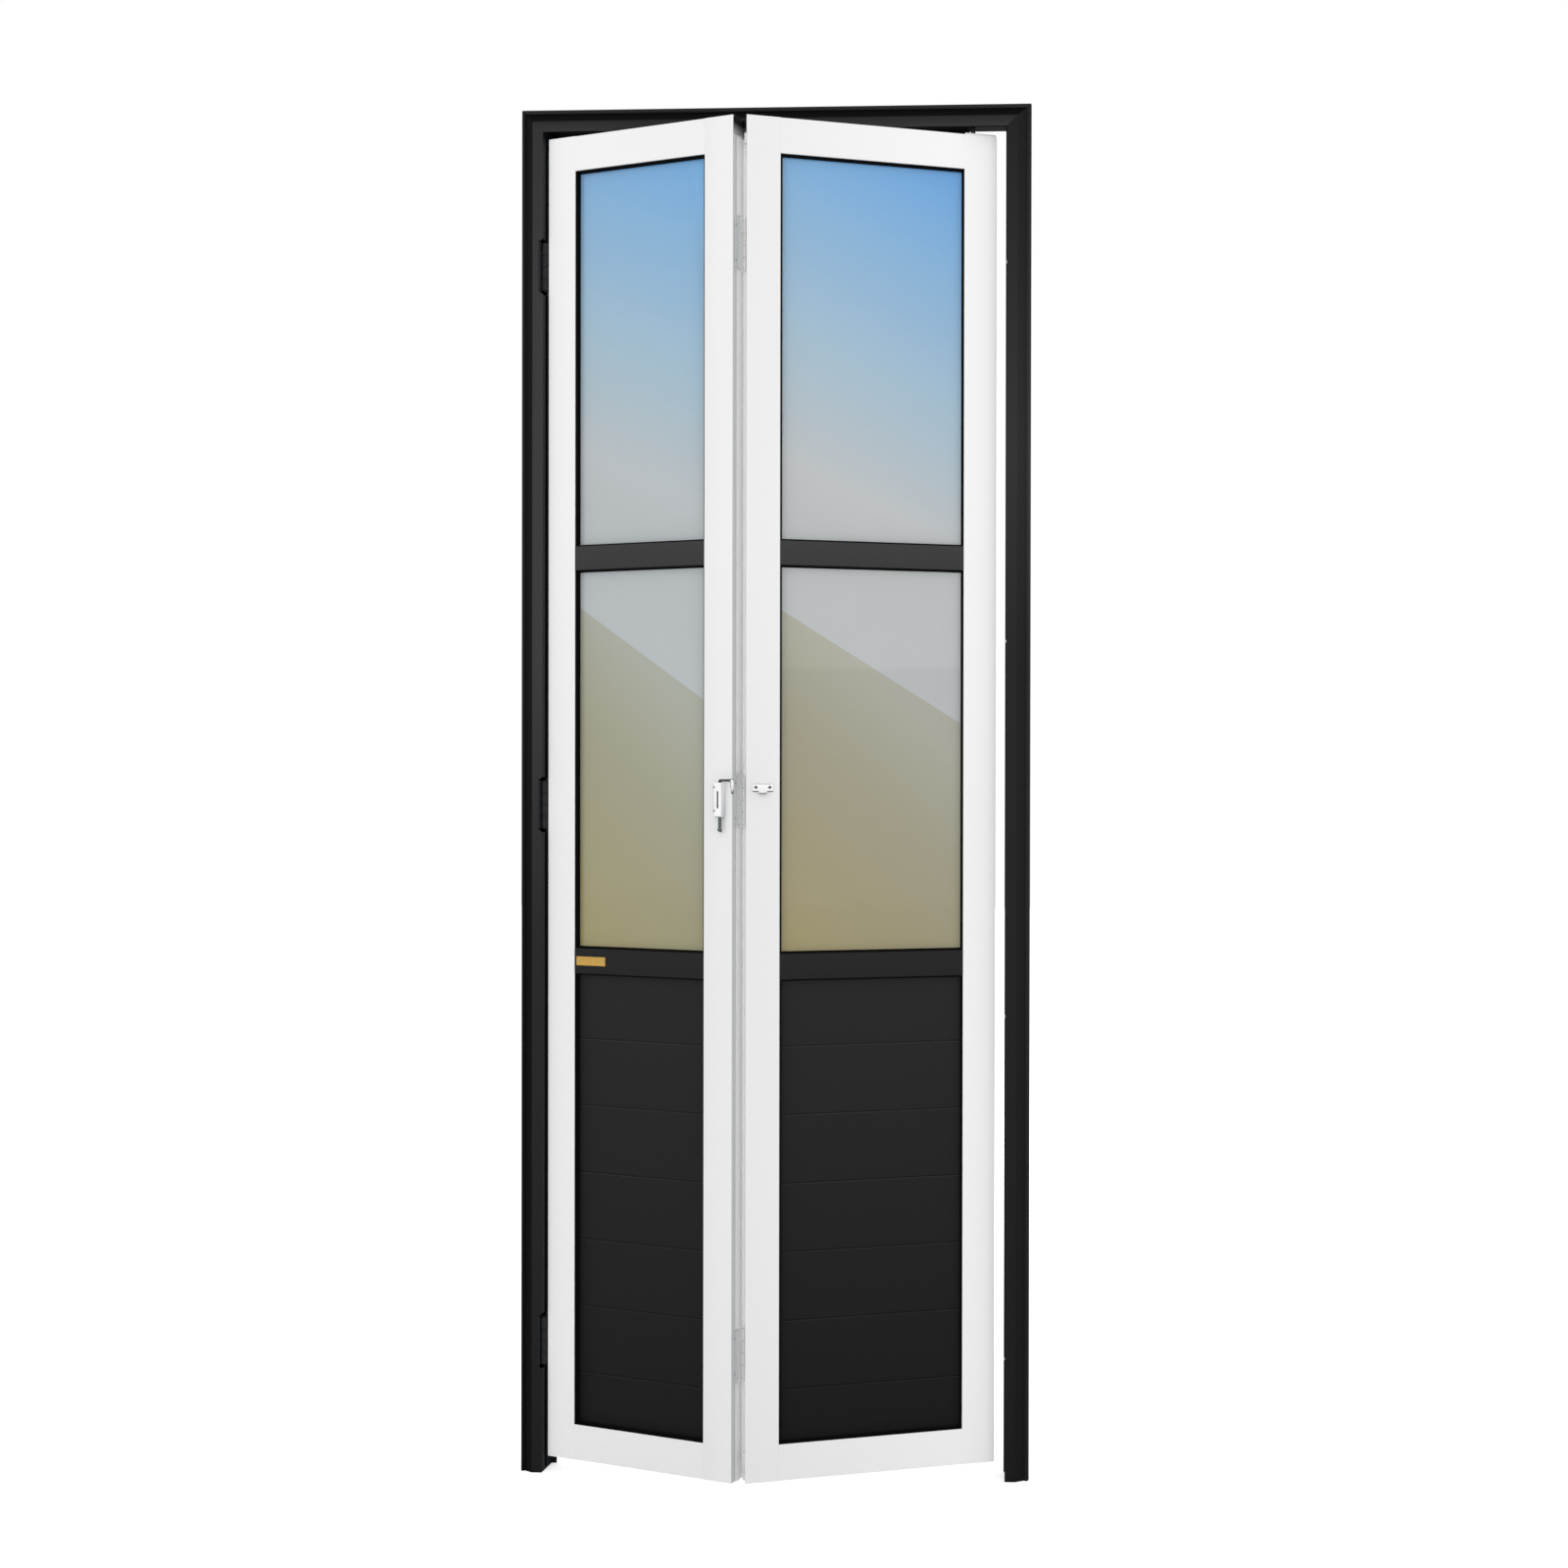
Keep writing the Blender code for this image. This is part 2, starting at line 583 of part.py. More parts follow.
def fold_noses():
    """Lengths of the rounded nose on the first leaf's fold edge, with the tube that closes the hinge line."""
    base = HINGE_SIDE_GAP + LEAF_1_WIDTH
    back = LEAF_1_FACE + LEAF_THICKNESS
    half = (LEAF_THICKNESS - NOSE_SETBACK - NOSE_BACK_MARGIN) / 2
    middle = LEAF_1_FACE + NOSE_SETBACK + half
    angles = [math.pi * i / NOSE_STEPS for i in range(NOSE_STEPS + 1)]
    section = [(base + NOSE_RISE * math.sin(a), middle - half * math.cos(a)) for a in angles]
    radius = FOLD_KNUCKLE_RADIUS
    first = -math.acos((base - FOLD_AXIS.x) / radius)
    turns = [first + (math.pi - first) * i / TUBE_STEPS for i in range(TUBE_STEPS + 1)]
    section += [(FOLD_AXIS.x + radius * math.cos(a), FOLD_AXIS.y + radius * math.sin(a)) for a in turns]
    rooted = LEAF_WALL / 2
    section += [
        (FOLD_AXIS.x - radius, back - rooted), (base - rooted, back - rooted),
        (base - rooted, middle - half),
    ]
    reach = FOLD_HINGE_HEIGHT / 2 + FIT_GAP + FOLD_PIN_HEAD + NOSE_HINGE_CLEARANCE
    starts = [FLOOR_GAP, *(height + reach for height in FOLD_HINGE_HEIGHTS)]
    ends = [*(height - reach for height in FOLD_HINGE_HEIGHTS), LEAF_TOP - NOSE_TOP_GAP]
    return [prism([section], start, end, upright) for start, end in zip(starts, ends)]


def build_leaf(label, x0, width, face, parent, mats, noses=()):
    white, bronze, slate, glass = mats
    x1 = x0 + width
    place = lambda s, t, z: (x0 + s, face + t, z)
    mirrored = lambda s, t, z: (x1 - s, face + t, z)
    lying = lambda s, t, x: (x, face + t, s)
    stile = bar_loops(STILE_WIDTH, False, True)
    add_object(f"{label}_left_stile", prism(stile, FLOOR_GAP, LEAF_TOP, place), white, parent)
    right = prism(stile, FLOOR_GAP, LEAF_TOP, mirrored)
    if noses:
        right = combined(right, added=noses)
        round_shading(right)
    add_object(f"{label}_right_stile", right, white, parent)

    rail_start = x0 + STILE_WIDTH + FIT_GAP
    rail_end = x1 - STILE_WIDTH - FIT_GAP
    levels = rail_levels()
    for name, (low, high) in levels.items():
        loops = bar_loops(high - low, name != "bottom_rail", name != "top_rail")
        raised = [[(low + s, t) for s, t in loop] for loop in loops]
        mat = bronze if "mid" in name else white
        add_object(f"{label}_{name}", prism(raised, rail_start, rail_end, lying), mat, parent)

    insert = GROOVE_DEPTH - FIT_GAP
    pane_start = x0 + STILE_WIDTH - insert
    pane_end = x1 - STILE_WIDTH + insert
    pane_face = face + (LEAF_THICKNESS - GLASS_THICKNESS) / 2
    panes = {
        "upper_glass": (levels["upper_mid_rail"][1], levels["top_rail"][0]),
        "lower_glass": (levels["lower_mid_rail"][1], levels["upper_mid_rail"][0]),
    }
    for name, (low, high) in panes.items():
        pane = box(pane_start, pane_end, pane_face, pane_face + GLASS_THICKNESS, low - insert, high + insert)
        add_object(f"{label}_{name}", pane, glass, parent)

    floor = levels["bottom_rail"][1] - insert
    ceiling = levels["lower_mid_rail"][0] + insert
    pitch = (ceiling - floor) / (SLATS + TOP_SLAT_EXTRA_SHARE - BOTTOM_SLAT_CUT_SHARE)
    seams = [floor + (i - BOTTOM_SLAT_CUT_SHARE) * pitch for i in range(1, SLATS)]
    bottoms = [floor, *seams]
    tops = [*(seam - FIT_GAP for seam in seams), ceiling]
    for i, (bottom, top) in enumerate(zip(bottoms, tops)):
        section = [(bottom + r, t) for r, t in slat_section(top - bottom)]
        slat = prism([section], pane_start, pane_end, lambda r, t, x: (x, pane_face + t, r))
        add_object(f"{label}_slat_{i + 1}", slat, slate, parent)


# Fold latch and keeper

def build_latch(leaf_1, white, steel):
    centre = HINGE_SIDE_GAP + LEAF_1_WIDTH - LATCH_INSET
    back = LEAF_1_FACE - FIT_GAP
    rod_y = back - ROD_STANDOFF
    half = LATCH_BARREL / 2
    flange_end = half - LATCH_WIDTH
    bulge = LATCH_DEPTH - LATCH_CHEEK
    angles = [math.pi * i / LATCH_FRONT_STEPS for i in range(LATCH_FRONT_STEPS + 1)]
    section = [(half, 0)]
    section += [(half * math.cos(a), -LATCH_CHEEK - bulge * math.sin(a)) for a in angles]
    section += [(-half, -LATCH_FLANGE), (flange_end, -LATCH_FLANGE), (flange_end, 0)]
    shell = prism(
        [section], LATCH_BOTTOM, LATCH_TOP, lambda p, q, s: (centre + p, back + q, s), smooth=True
    )
    slot_half = STUD_RADIUS + SLOT_CLEARANCE
    rest_height = LATCH_BOTTOM + (LATCH_HEIGHT - ROD_TRAVEL) / 2
    chamber_radius = COLLAR_RADIUS + FIT_GAP
    chamber = cylinder(
        chamber_radius, LATCH_BOTTOM + CHAMBER_END_WALL, LATCH_TOP - CHAMBER_END_WALL, centre, rod_y
    )
    rod_way = cylinder(
        ROD_RADIUS + FIT_GAP, LATCH_BOTTOM - CUT_OVERRUN, LATCH_TOP + CUT_OVERRUN, centre, rod_y
    )
    slot = box(
        centre - slot_half, centre + slot_half, back - LATCH_DEPTH - CUT_OVERRUN, rod_y,
        rest_height - slot_half, rest_height + ROD_TRAVEL + slot_half,
    )
    housing = combined(shell, cut=[chamber, rod_way, slot])
    round_shading(housing)
    add_object("latch_housing", housing, white, leaf_1)

    slide = axis("latch_slide_axis", (centre, rod_y, rest_height), 0, leaf_1)
    ring = prism([circle(COLLAR_RADIUS)], -COLLAR_HEIGHT / 2, COLLAR_HEIGHT / 2, upright)
    stud_end = LATCH_DEPTH - ROD_STANDOFF + STUD_PROUD
    stud = prism(
        [circle(STUD_RADIUS, sides=ROUND_SIDES // 2)],
        COLLAR_RADIUS - CUT_OVERRUN, stud_end, lambda p, q, s: (p, -s, q)
    )
    way = cylinder(ROD_RADIUS + FIT_GAP, -COLLAR_HEIGHT, COLLAR_HEIGHT)
    collar = combined(ring, added=[stud], cut=[way])
    round_shading(collar)
    add_object("latch_collar", collar, steel, slide)

    turn = axis("latch_rod_axis", (0, 0, 0), -ROD_SWING_AT_REST, slide)
    add_object("latch_rod", hooked_rod(rest_height), steel, turn)


def hooked_rod(rest_height):
    """Rod with its tail knob, arm and hanging finger, as a bevelled curve, in the collar's frame."""
    arm = ARM_HEIGHT - rest_height
    tail = LATCH_BOTTOM - ROD_TAIL - rest_height
    tip = arm - HOOK_DROP
    knob_top = tail + ROD_TAIL_KNOB
    quarter = [math.pi / 2 * i / BEND_STEPS for i in range(BEND_STEPS + 1)]
    rounding = ROD_KNOB_RADIUS / 3
    points = [
        (0, tail, ROD_KNOB_RADIUS - rounding), (0, tail + rounding, ROD_KNOB_RADIUS),
        (0, knob_top - rounding, ROD_KNOB_RADIUS), (0, knob_top, ROD_RADIUS),
    ]
    points += [
        (ROD_BEND - ROD_BEND * math.cos(a), arm - ROD_BEND + ROD_BEND * math.sin(a), ROD_RADIUS)
        for a in quarter
    ]
    points += [
        (ARM_LENGTH - ROD_BEND + ROD_BEND * math.sin(a), arm - ROD_BEND + ROD_BEND * math.cos(a), ROD_RADIUS)
        for a in quarter
    ]
    points += [(ARM_LENGTH, tip + HOOK_TIP_RADIUS, HOOK_TIP_RADIUS), (ARM_LENGTH, tip, HOOK_TIP_RADIUS / 2)]
    curve = bpy.data.curves.new("latch_rod", "CURVE")
    curve.dimensions = "3D"
    curve.bevel_depth = ROD_RADIUS
    curve.bevel_resolution = 2
    curve.use_fill_caps = True
    spline = curve.splines.new("POLY")
    spline.points.add(len(points) - 1)
    for point, (x, z, radius) in zip(spline.points, points):
        point.co = (x, 0, z, 1)
        point.radius = radius / ROD_RADIUS
    return curve


def build_keeper(leaf_2, white):
    centre = FOLD_GAP / 2 + KEEPER_INSET
    back = LEAF_2_FACE - FIT_GAP
    hole_y = -ROD_STANDOFF
    half = KEEPER_TAB_WIDTH / 2
    bottom = TAB_TOP - KEEPER_TAB_THICKNESS
    plate = box(
        centre - KEEPER_WIDTH / 2, centre + KEEPER_WIDTH / 2,
        back - KEEPER_PLATE, back, bottom, bottom + KEEPER_HEIGHT
    )
    angles = [math.pi * i / KEEPER_TAB_STEPS for i in range(KEEPER_TAB_STEPS + 1)]
    outline = [(-half * math.cos(a), half - KEEPER_TAB_REACH - half * math.sin(a)) for a in angles]
    outline = [(-half, -KEEPER_PLATE / 2), *outline, (half, -KEEPER_PLATE / 2)]
    tab = prism(
        [outline, circle(KEEPER_HOLE_RADIUS, 0, hole_y)], bottom - KEEPER_TAB_DROP, TAB_TOP,
        lambda p, q, s: (centre + p, back + q, s),
    )
    add_object("latch_keeper", combined(plate, added=[tab]), white, leaf_2)


# Top guide

def build_guide(leaf_2, black, nylon):
    x1 = FOLD_GAP / 2 + LEAF_2_WIDTH
    x = x1 - GUIDE_INSET
    y = LEAF_2_FACE + GUIDE_SETBACK
    seat = LEAF_TOP + FIT_GAP
    flange_top = seat + GUIDE_FLANGE
    edge = LEAF_WALL + FIT_GAP
    flange = box(
        x1 - STILE_WIDTH + GUIDE_EDGE_MARGIN, x1 - GUIDE_EDGE_MARGIN,
        LEAF_2_FACE + GUIDE_EDGE_MARGIN, LEAF_2_FACE + LEAF_THICKNESS - GUIDE_EDGE_MARGIN, seat, flange_top,
    )
    plug = box(
        x1 - STILE_WIDTH + GROOVE_DEPTH + LEAF_WALL + edge, x1 - edge,
        LEAF_2_FACE + edge, LEAF_2_FACE + LEAF_THICKNESS - edge,
        LEAF_TOP - GUIDE_PLUG_DEPTH, seat + GUIDE_FLANGE / 2,
    )
    roller_bottom = HEAD_UNDERSIDE + TRACK_WALL + ROLLER_CLEARANCE
    roller_top = roller_bottom + ROLLER_HEIGHT
    post = cylinder(GUIDE_POST_RADIUS, seat + GUIDE_FLANGE / 2, roller_bottom - FIT_GAP, x, y)
    spindle = cylinder(GUIDE_SPINDLE_RADIUS, flange_top, roller_top + FIT_GAP + GUIDE_CAP / 2, x, y)
    cap = cylinder(GUIDE_CAP_RADIUS, roller_top + FIT_GAP, roller_top + FIT_GAP + GUIDE_CAP, x, y)
    guide = combined(flange, added=[plug, post, spindle, cap])
    round_shading(guide)
    add_object("guide_pin", guide, black, leaf_2)
    loops = [circle(ROLLER_RADIUS, x, y), circle(GUIDE_SPINDLE_RADIUS + FIT_GAP, x, y)]
    add_object("guide_roller", prism(loops, roller_bottom, roller_top, upright, smooth=True), nylon, leaf_2)


def main():
    clear_scene()
    frame_black = paint("frame_black", (0.018, 0.018, 0.019), 0.55)
    hinge_black = paint("hinge_black", (0.022, 0.023, 0.025), 0.45)
    leaf_white = paint("leaf_white", (0.86, 0.86, 0.86), 0.42)
    hinge_white = paint("hinge_white", (0.62, 0.63, 0.64), 0.40)
    rail_bronze = paint("rail_charcoal", (0.035, 0.035, 0.036), 0.45)
    slat_slate = paint("slat_charcoal", (0.022, 0.022, 0.023), 0.50)
    glass = paint("glass", (0.45, 0.58, 0.66), 0.05, transmission=0.3)
    latch_white = paint("latch_white", (0.88, 0.89, 0.90), 0.35)
    steel = paint("latch_steel", (0.10, 0.10, 0.11), 0.35, metallic=0.8)
    nylon = paint("nylon", (0.03, 0.03, 0.03), 0.60)

    build_trims(frame_black)
    build_frame(frame_black)
    leaf_1 = axis("leaf_1_axis", JAMB_AXIS, -REST_FOLD)
    leaf_2 = axis("leaf_2_axis", FOLD_AXIS, 2 * REST_FOLD, leaf_1)
    finishes = (leaf_white, rail_bronze, slat_slate, glass)
    build_leaf("leaf_1", HINGE_SIDE_GAP, LEAF_1_WIDTH, LEAF_1_FACE, leaf_1, finishes, fold_noses())
    build_leaf("leaf_2", FOLD_GAP / 2, LEAF_2_WIDTH, LEAF_2_FACE, leaf_2, finishes)
    build_jamb_hinges(leaf_1, hinge_black)
    build_fold_hinges(leaf_1, leaf_2, hinge_white)
    build_latch(leaf_1, latch_white, steel)
    build_keeper(leaf_2, latch_white)
    build_guide(leaf_2, frame_black, nylon)


main()
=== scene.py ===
import json
import math

import bmesh
import bpy
from mathutils import Matrix, Vector

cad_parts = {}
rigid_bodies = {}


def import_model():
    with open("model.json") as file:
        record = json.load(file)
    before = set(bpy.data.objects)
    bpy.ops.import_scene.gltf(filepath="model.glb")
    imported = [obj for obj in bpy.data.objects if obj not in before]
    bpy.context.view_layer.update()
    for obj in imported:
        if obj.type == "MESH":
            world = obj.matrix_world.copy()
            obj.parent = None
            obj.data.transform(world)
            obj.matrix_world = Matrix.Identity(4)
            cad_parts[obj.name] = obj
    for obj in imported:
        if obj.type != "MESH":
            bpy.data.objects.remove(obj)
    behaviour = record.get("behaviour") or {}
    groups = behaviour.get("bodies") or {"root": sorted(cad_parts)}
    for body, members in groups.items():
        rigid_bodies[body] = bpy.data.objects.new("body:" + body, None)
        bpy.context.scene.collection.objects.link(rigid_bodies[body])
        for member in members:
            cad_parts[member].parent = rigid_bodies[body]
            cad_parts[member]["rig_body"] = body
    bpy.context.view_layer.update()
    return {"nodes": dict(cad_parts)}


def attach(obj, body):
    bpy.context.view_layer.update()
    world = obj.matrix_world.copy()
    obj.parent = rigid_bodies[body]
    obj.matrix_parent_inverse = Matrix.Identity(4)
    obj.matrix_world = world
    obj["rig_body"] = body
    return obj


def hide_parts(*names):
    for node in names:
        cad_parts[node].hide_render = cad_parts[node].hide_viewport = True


X, Y, Z = range(3)
UP = (0, 0, 1)
DOWN = (0, 0, -1)

# Places taken from the frame, in metres. A leaf's own places are measured from its hinge axis.
FOLD = math.radians(17)
JAMB_AXIS = Vector((0.026, -0.0035, 0))
FOLD_AXIS = Vector((0.3629695, -0.0761968, 0))
ON_LEAF_1 = Matrix.Translation(JAMB_AXIS) @ Matrix.Rotation(-FOLD, 4, "Z")
ON_LEAF_2 = Matrix.Translation(FOLD_AXIS) @ Matrix.Rotation(FOLD, 4, "Z")

# Left edge, right edge, front face and back face of each leaf.
LEAF_1 = (0.007, 0.34175, -0.001, 0.024)
LEAF_2 = (0.00175, 0.3795, -0.030, -0.005)
LEAVES = {"leaf_1": LEAF_1, "leaf_2": LEAF_2}
LEAF_FOOT = 0.024
LEAF_TOP = 2.084
STILE = 0.050
FOLD_LINE = (0.3435, 0.029)
PANE_SETBACK = 0.010
OPENINGS = {
    "slat_panel": (0.079, 0.783),
    "lower_pane": (0.822, 1.410),
    "upper_pane": (1.447, 2.030),
}

JAMB_HINGES = {"bottom": 0.205, "middle": 1.045, "top": 1.885}
JAMB_HINGE_HEIGHT = 0.072
FOLD_HINGES = {"bottom": 0.214, "middle": 1.054, "top": 1.894}
FOLD_HINGE_HEIGHT = 0.074
KNUCKLES = 4

INNER_LEFT = 0.026
INNER_RIGHT = 0.754
FRAME_FRONT = -0.0145
TRIM_TOP = 2.130
TRIM_OUTER_LEFT = -0.010
TRIM_OUTER_RIGHT = 0.790
TRIM_WIDTH = 0.036

# The latch, on leaf 1, and its keeper, on leaf 2.
LATCH_MIDDLE = 0.32455
BARREL_HALF = 0.0056
LATCH_LEFT = LATCH_MIDDLE - 0.0144
LATCH_DEPTH = 0.0125
LATCH_FLANGE = 0.0034
LATCH_BACK = -0.0013
LATCH_FOOT = 1.029
LATCH_HEAD = 1.081
LATCH_SCREWS = (1.0382, 1.0738)
STUD_SLOT = (1.0418, 1.0682)
ROD_LINE = -0.0075
ROD_RADIUS = 0.0025
ROD_BEND = 0.0042
ARM_HEIGHT = 1.0844
ARM_LENGTH = 0.0457
FINGER_TIP = 1.0639
TAIL_TIP = 1.0064
ARM_SWING = math.radians(33)
KEEPER_MIDDLE = 0.02675
KEEPER_HALF = 0.015
KEEPER_BACK = -0.0303
KEEPER_PLATE = 0.0020
KEEPER_FOOT = 1.0669
KEEPER_HEAD = 1.0787

# How each body's pieces stand at rest. The rod is drawn upright on its own line, then swung.
SWING = Matrix.Translation((LATCH_MIDDLE, ROD_LINE, 0)) @ Matrix.Rotation(-ARM_SWING, 4, "Z")
STANDS = {
    "frame": Matrix.Identity(4),
    "leaf_1": ON_LEAF_1,
    "leaf_2": ON_LEAF_2,
    "latch_rod": ON_LEAF_1 @ SWING,
}

# Rubber, washers and sealant.
GASKET_LIP = 0.0030
GASKET_WALL = 0.0012
GASKET_PLAY = 0.0001
GASKET_SINK = 0.0006
GASKET_ROUND = 0.00035
WASHER = 0.0011
JAMB_WASHER_RADIUS = 0.00625
FOLD_WASHER_RADIUS = 0.0047
SEAL_RIDGE_SHARE = 0.25
SEAL_RISE_SHARE = 0.12
SEAL_ROUND = 0.0006
SEALANT_HALF = 0.0007
SEALANT_SINK = 0.00015
SEALANT_DEPTH = 0.0013
# Middle height and length of each rubber buffer on leaf 2's fold edge.
BUFFERS = ((2.049, 0.016), (1.0985, 0.014), (0.0630, 0.015), (0.0350, 0.011))

# Radius and height of the screw heads, and the shares of them that their recesses take.
HINGE_SCREW = (0.0021, 0.0004)
LATCH_SCREW = (0.0017, 0.0006)
KEEPER_SCREW = (0.0023, 0.0007)
JAMB_SCREW = (0.0026, 0.0012)
RIVET = (0.0011, 0.0006)
DISH_SHARE = 0.25
CROSS_SHARES = (1.1, 0.26, 0.9)
CROSS_RISE_SHARE = 1.1

# Edge rounds of the small pieces, and how near is near enough when corners are picked.
FAINT_ROUND = 0.0002
FINE_ROUND = 0.0003
ROUND = 0.0006
HAIR = 0.0001
FACING = 0.9

# The camera, where the photograph was taken.
CAMERA_PLACE = (1.1466, -2.8226, 1.0948)
CAMERA_YAW = 0.0462
CAMERA_PITCH = -0.0052
CAMERA_ROLL = -0.00265
CAMERA_SHIFT = -0.25
SENSOR = 36
LENS = 1867 / 1600 * SENSOR


def put_down():
    """Leaves nothing selected."""
    if bpy.context.object and bpy.context.object.mode == "EDIT":
        bpy.ops.object.mode_set(mode="OBJECT")
    bpy.ops.object.select_all(action="DESELECT")
    bpy.context.view_layer.objects.active = None


def hold(*pieces):
    """Selects these pieces alone, the first of them active."""
    put_down()
    for piece in pieces:
        piece.select_set(True)
    bpy.context.view_layer.objects.active = pieces[0]


def pick(kind, test):
    """In edit mode, selects the faces, edges or points that pass a test."""
    mode = {"faces": "FACE", "edges": "EDGE", "verts": "VERT"}[kind]
    bpy.ops.mesh.select_mode(type=mode)
    bpy.ops.mesh.select_all(action="DESELECT")
    mesh = bmesh.from_edit_mesh(bpy.context.object.data)
    for part in getattr(mesh, kind):
        if test(part):
            part.select_set(True)
    mesh.select_flush(True)
    bmesh.update_edit_mesh(bpy.context.object.data)


def runs(edge, axis):
    """How far an edge runs along an axis."""
    return abs(edge.verts[0].co[axis] - edge.verts[1].co[axis])


def below(edge, axis, limit):
    """Whether an edge lies wholly below a limit on an axis."""
    return all(vert.co[axis] < limit for vert in edge.verts)


def edit():
    bpy.ops.object.mode_set(mode="EDIT")


def done():
    bpy.ops.object.mode_set(mode="OBJECT")


def set_scale():
    bpy.ops.object.transform_apply(location=True, rotation=True, scale=True)


def modify(kind, **settings):
    """Adds a modifier to the held piece and applies it."""
    piece = bpy.context.object
    step = piece.modifiers.new(kind, kind)
    for name, value in settings.items():
        setattr(step, name, value)
    bpy.ops.object.modifier_apply(modifier=step.name)


def block(low, high):
    """A block between two corners, held and with its scale set."""
    put_down()
    middle = [(a + b) / 2 for a, b in zip(low, high)]
    bpy.ops.mesh.primitive_cube_add(size=1, location=middle)
    bpy.context.object.scale = [b - a for a, b in zip(low, high)]
    set_scale()
    return bpy.context.object


def rod(radius, start, end, sides=32):
    """A round bar between two points, held and with its scale set."""
    put_down()
    start, end = Vector(start), Vector(end)
    away = end - start
    bpy.ops.mesh.primitive_cylinder_add(
        vertices=sides,
        radius=radius,
        depth=away.length,
        location=(start + end) / 2,
        rotation=away.to_track_quat("Z", "Y").to_euler(),
    )
    set_scale()
    return bpy.context.object


def cut_away(piece, tool):
    """Takes a tool's shape out of a piece."""
    hold(piece)
    modify("BOOLEAN", object=tool, operation="DIFFERENCE", solver="EXACT")
    bpy.data.objects.remove(tool)


def add_on(piece, other):
    """Merges another piece's shape into a piece."""
    hold(piece)
    modify("BOOLEAN", object=other, operation="UNION", solver="EXACT")
    bpy.data.objects.remove(other)


def clip(place, normal):
    """Cuts the held piece along a plane, in edit mode, and drops what lies on the normal's side."""
    bpy.ops.mesh.select_all(action="SELECT")
    bpy.ops.mesh.bisect(plane_co=place, plane_no=normal, use_fill=True, clear_outer=True)


def shade_round(limit):
    """Shades the held piece smooth where its faces meet at less than a limit in degrees."""
    bpy.ops.object.shade_smooth_by_angle(angle=math.radians(limit))


def soften(width, segments=3, limit=30):
    """Rounds the held piece's sharp edges and shades it."""
    modify("BEVEL", width=width, segments=segments, angle_limit=math.radians(limit))
    shade_round(40)


def stand(piece, name, finish, body):
    """Names a finished piece, gives it its finish, sets it in place and lets it ride its body."""
    hold(piece)
    piece.name = name
    piece.data.name = name
    piece.matrix_world = STANDS[body] @ piece.matrix_world
    set_scale()
    piece.data.materials.clear()
    piece.data.materials.append(finish)
    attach(piece, body)
    return piece


def copied(piece, offset):
    """A copy with its own mesh, moved by an offset."""
    twin = piece.copy()
    twin.data = piece.data.copy()
    bpy.context.scene.collection.objects.link(twin)
    twin.matrix_world = Matrix.Translation(offset) @ piece.matrix_world
    hold(twin)
    set_scale()
    return twin


def joined(*pieces):
    """Joins pieces into the first."""
    hold(*pieces)
    bpy.ops.object.join()
    return bpy.context.object


# The pieces.


def glazing_gasket(name, edges, low, high, finish, body):
    """A rubber frame in a leaf's opening, front and back: wall on the frame, lip on the pane."""
    left, right, face, back = edges
    left += STILE
    right -= STILE
    rim = 2 * GASKET_PLAY
    put_down()
    bpy.ops.mesh.primitive_plane_add(
        size=1,
        location=((left + right) / 2, face + PANE_SETBACK - GASKET_PLAY, (low + high) / 2),
        rotation=(math.radians(90), 0, 0),
    )
    gasket = bpy.context.object
    gasket.scale = (right - left - rim, high - low - rim, 1)
    set_scale()
    edit()
    bpy.ops.mesh.select_all(action="SELECT")
    bpy.ops.mesh.inset(thickness=GASKET_LIP, depth=0)
    bpy.ops.mesh.delete(type="FACE")

    def outer(edge):
        x, _, z = (edge.verts[0].co + edge.verts[1].co) / 2
        return not (left + rim < x < right - rim and low + rim < z < high - rim)

    pick("edges", outer)
    bpy.ops.mesh.extrude_region_move(
        TRANSFORM_OT_translate={"value": (0, -PANE_SETBACK + GASKET_SINK, 0)}
    )
    done()
    modify("SOLIDIFY", thickness=GASKET_WALL, offset=1, use_even_offset=True)
    soften(GASKET_ROUND, 2)
    back_half = copied(gasket, (0, 0, 0))
    hold(back_half)
    edit()
    bpy.ops.mesh.select_all(action="SELECT")
    bpy.ops.transform.resize(value=(1, -1, 1), center_override=(0, (face + back) / 2, 0))
    bpy.ops.mesh.flip_normals()
    done()
    return stand(joined(gasket, back_half), name, finish, body)


def screw_head(radius, height):
    """A pan head with a cross recess, standing on Z."""
    head = rod(radius, (0, 0, 0), (0, 0, height), 24)
    edit()
    pick("faces", lambda face: face.normal.z > FACING)
    bpy.ops.mesh.inset(thickness=radius * DISH_SHARE, depth=height * DISH_SHARE)
    done()
    long, wide, deep = CROSS_SHARES
    for turn in (0, 90):
        put_down()
        bpy.ops.mesh.primitive_cube_add(size=1, location=(0, 0, height * CROSS_RISE_SHARE))
        slot = bpy.context.object
        slot.scale = (radius * long, radius * wide, height * deep)
        slot.rotation_euler.z = math.radians(turn)
        set_scale()
        cut_away(head, slot)
    hold(head)
    shade_round(40)
    return head


def screws(name, places, outward, size, finish, body):
    """Screw heads at places on a body, all facing the same way."""
    turn = Vector(outward).to_track_quat("Z", "Y").to_matrix().to_4x4()
    made = []
    first = screw_head(*size)
    for place in places:
        twin = copied(first, (0, 0, 0))
        twin.matrix_world = Matrix.Translation(place) @ turn
        made.append(twin)
    bpy.data.objects.remove(first)
    return stand(joined(*made), name, finish, body)


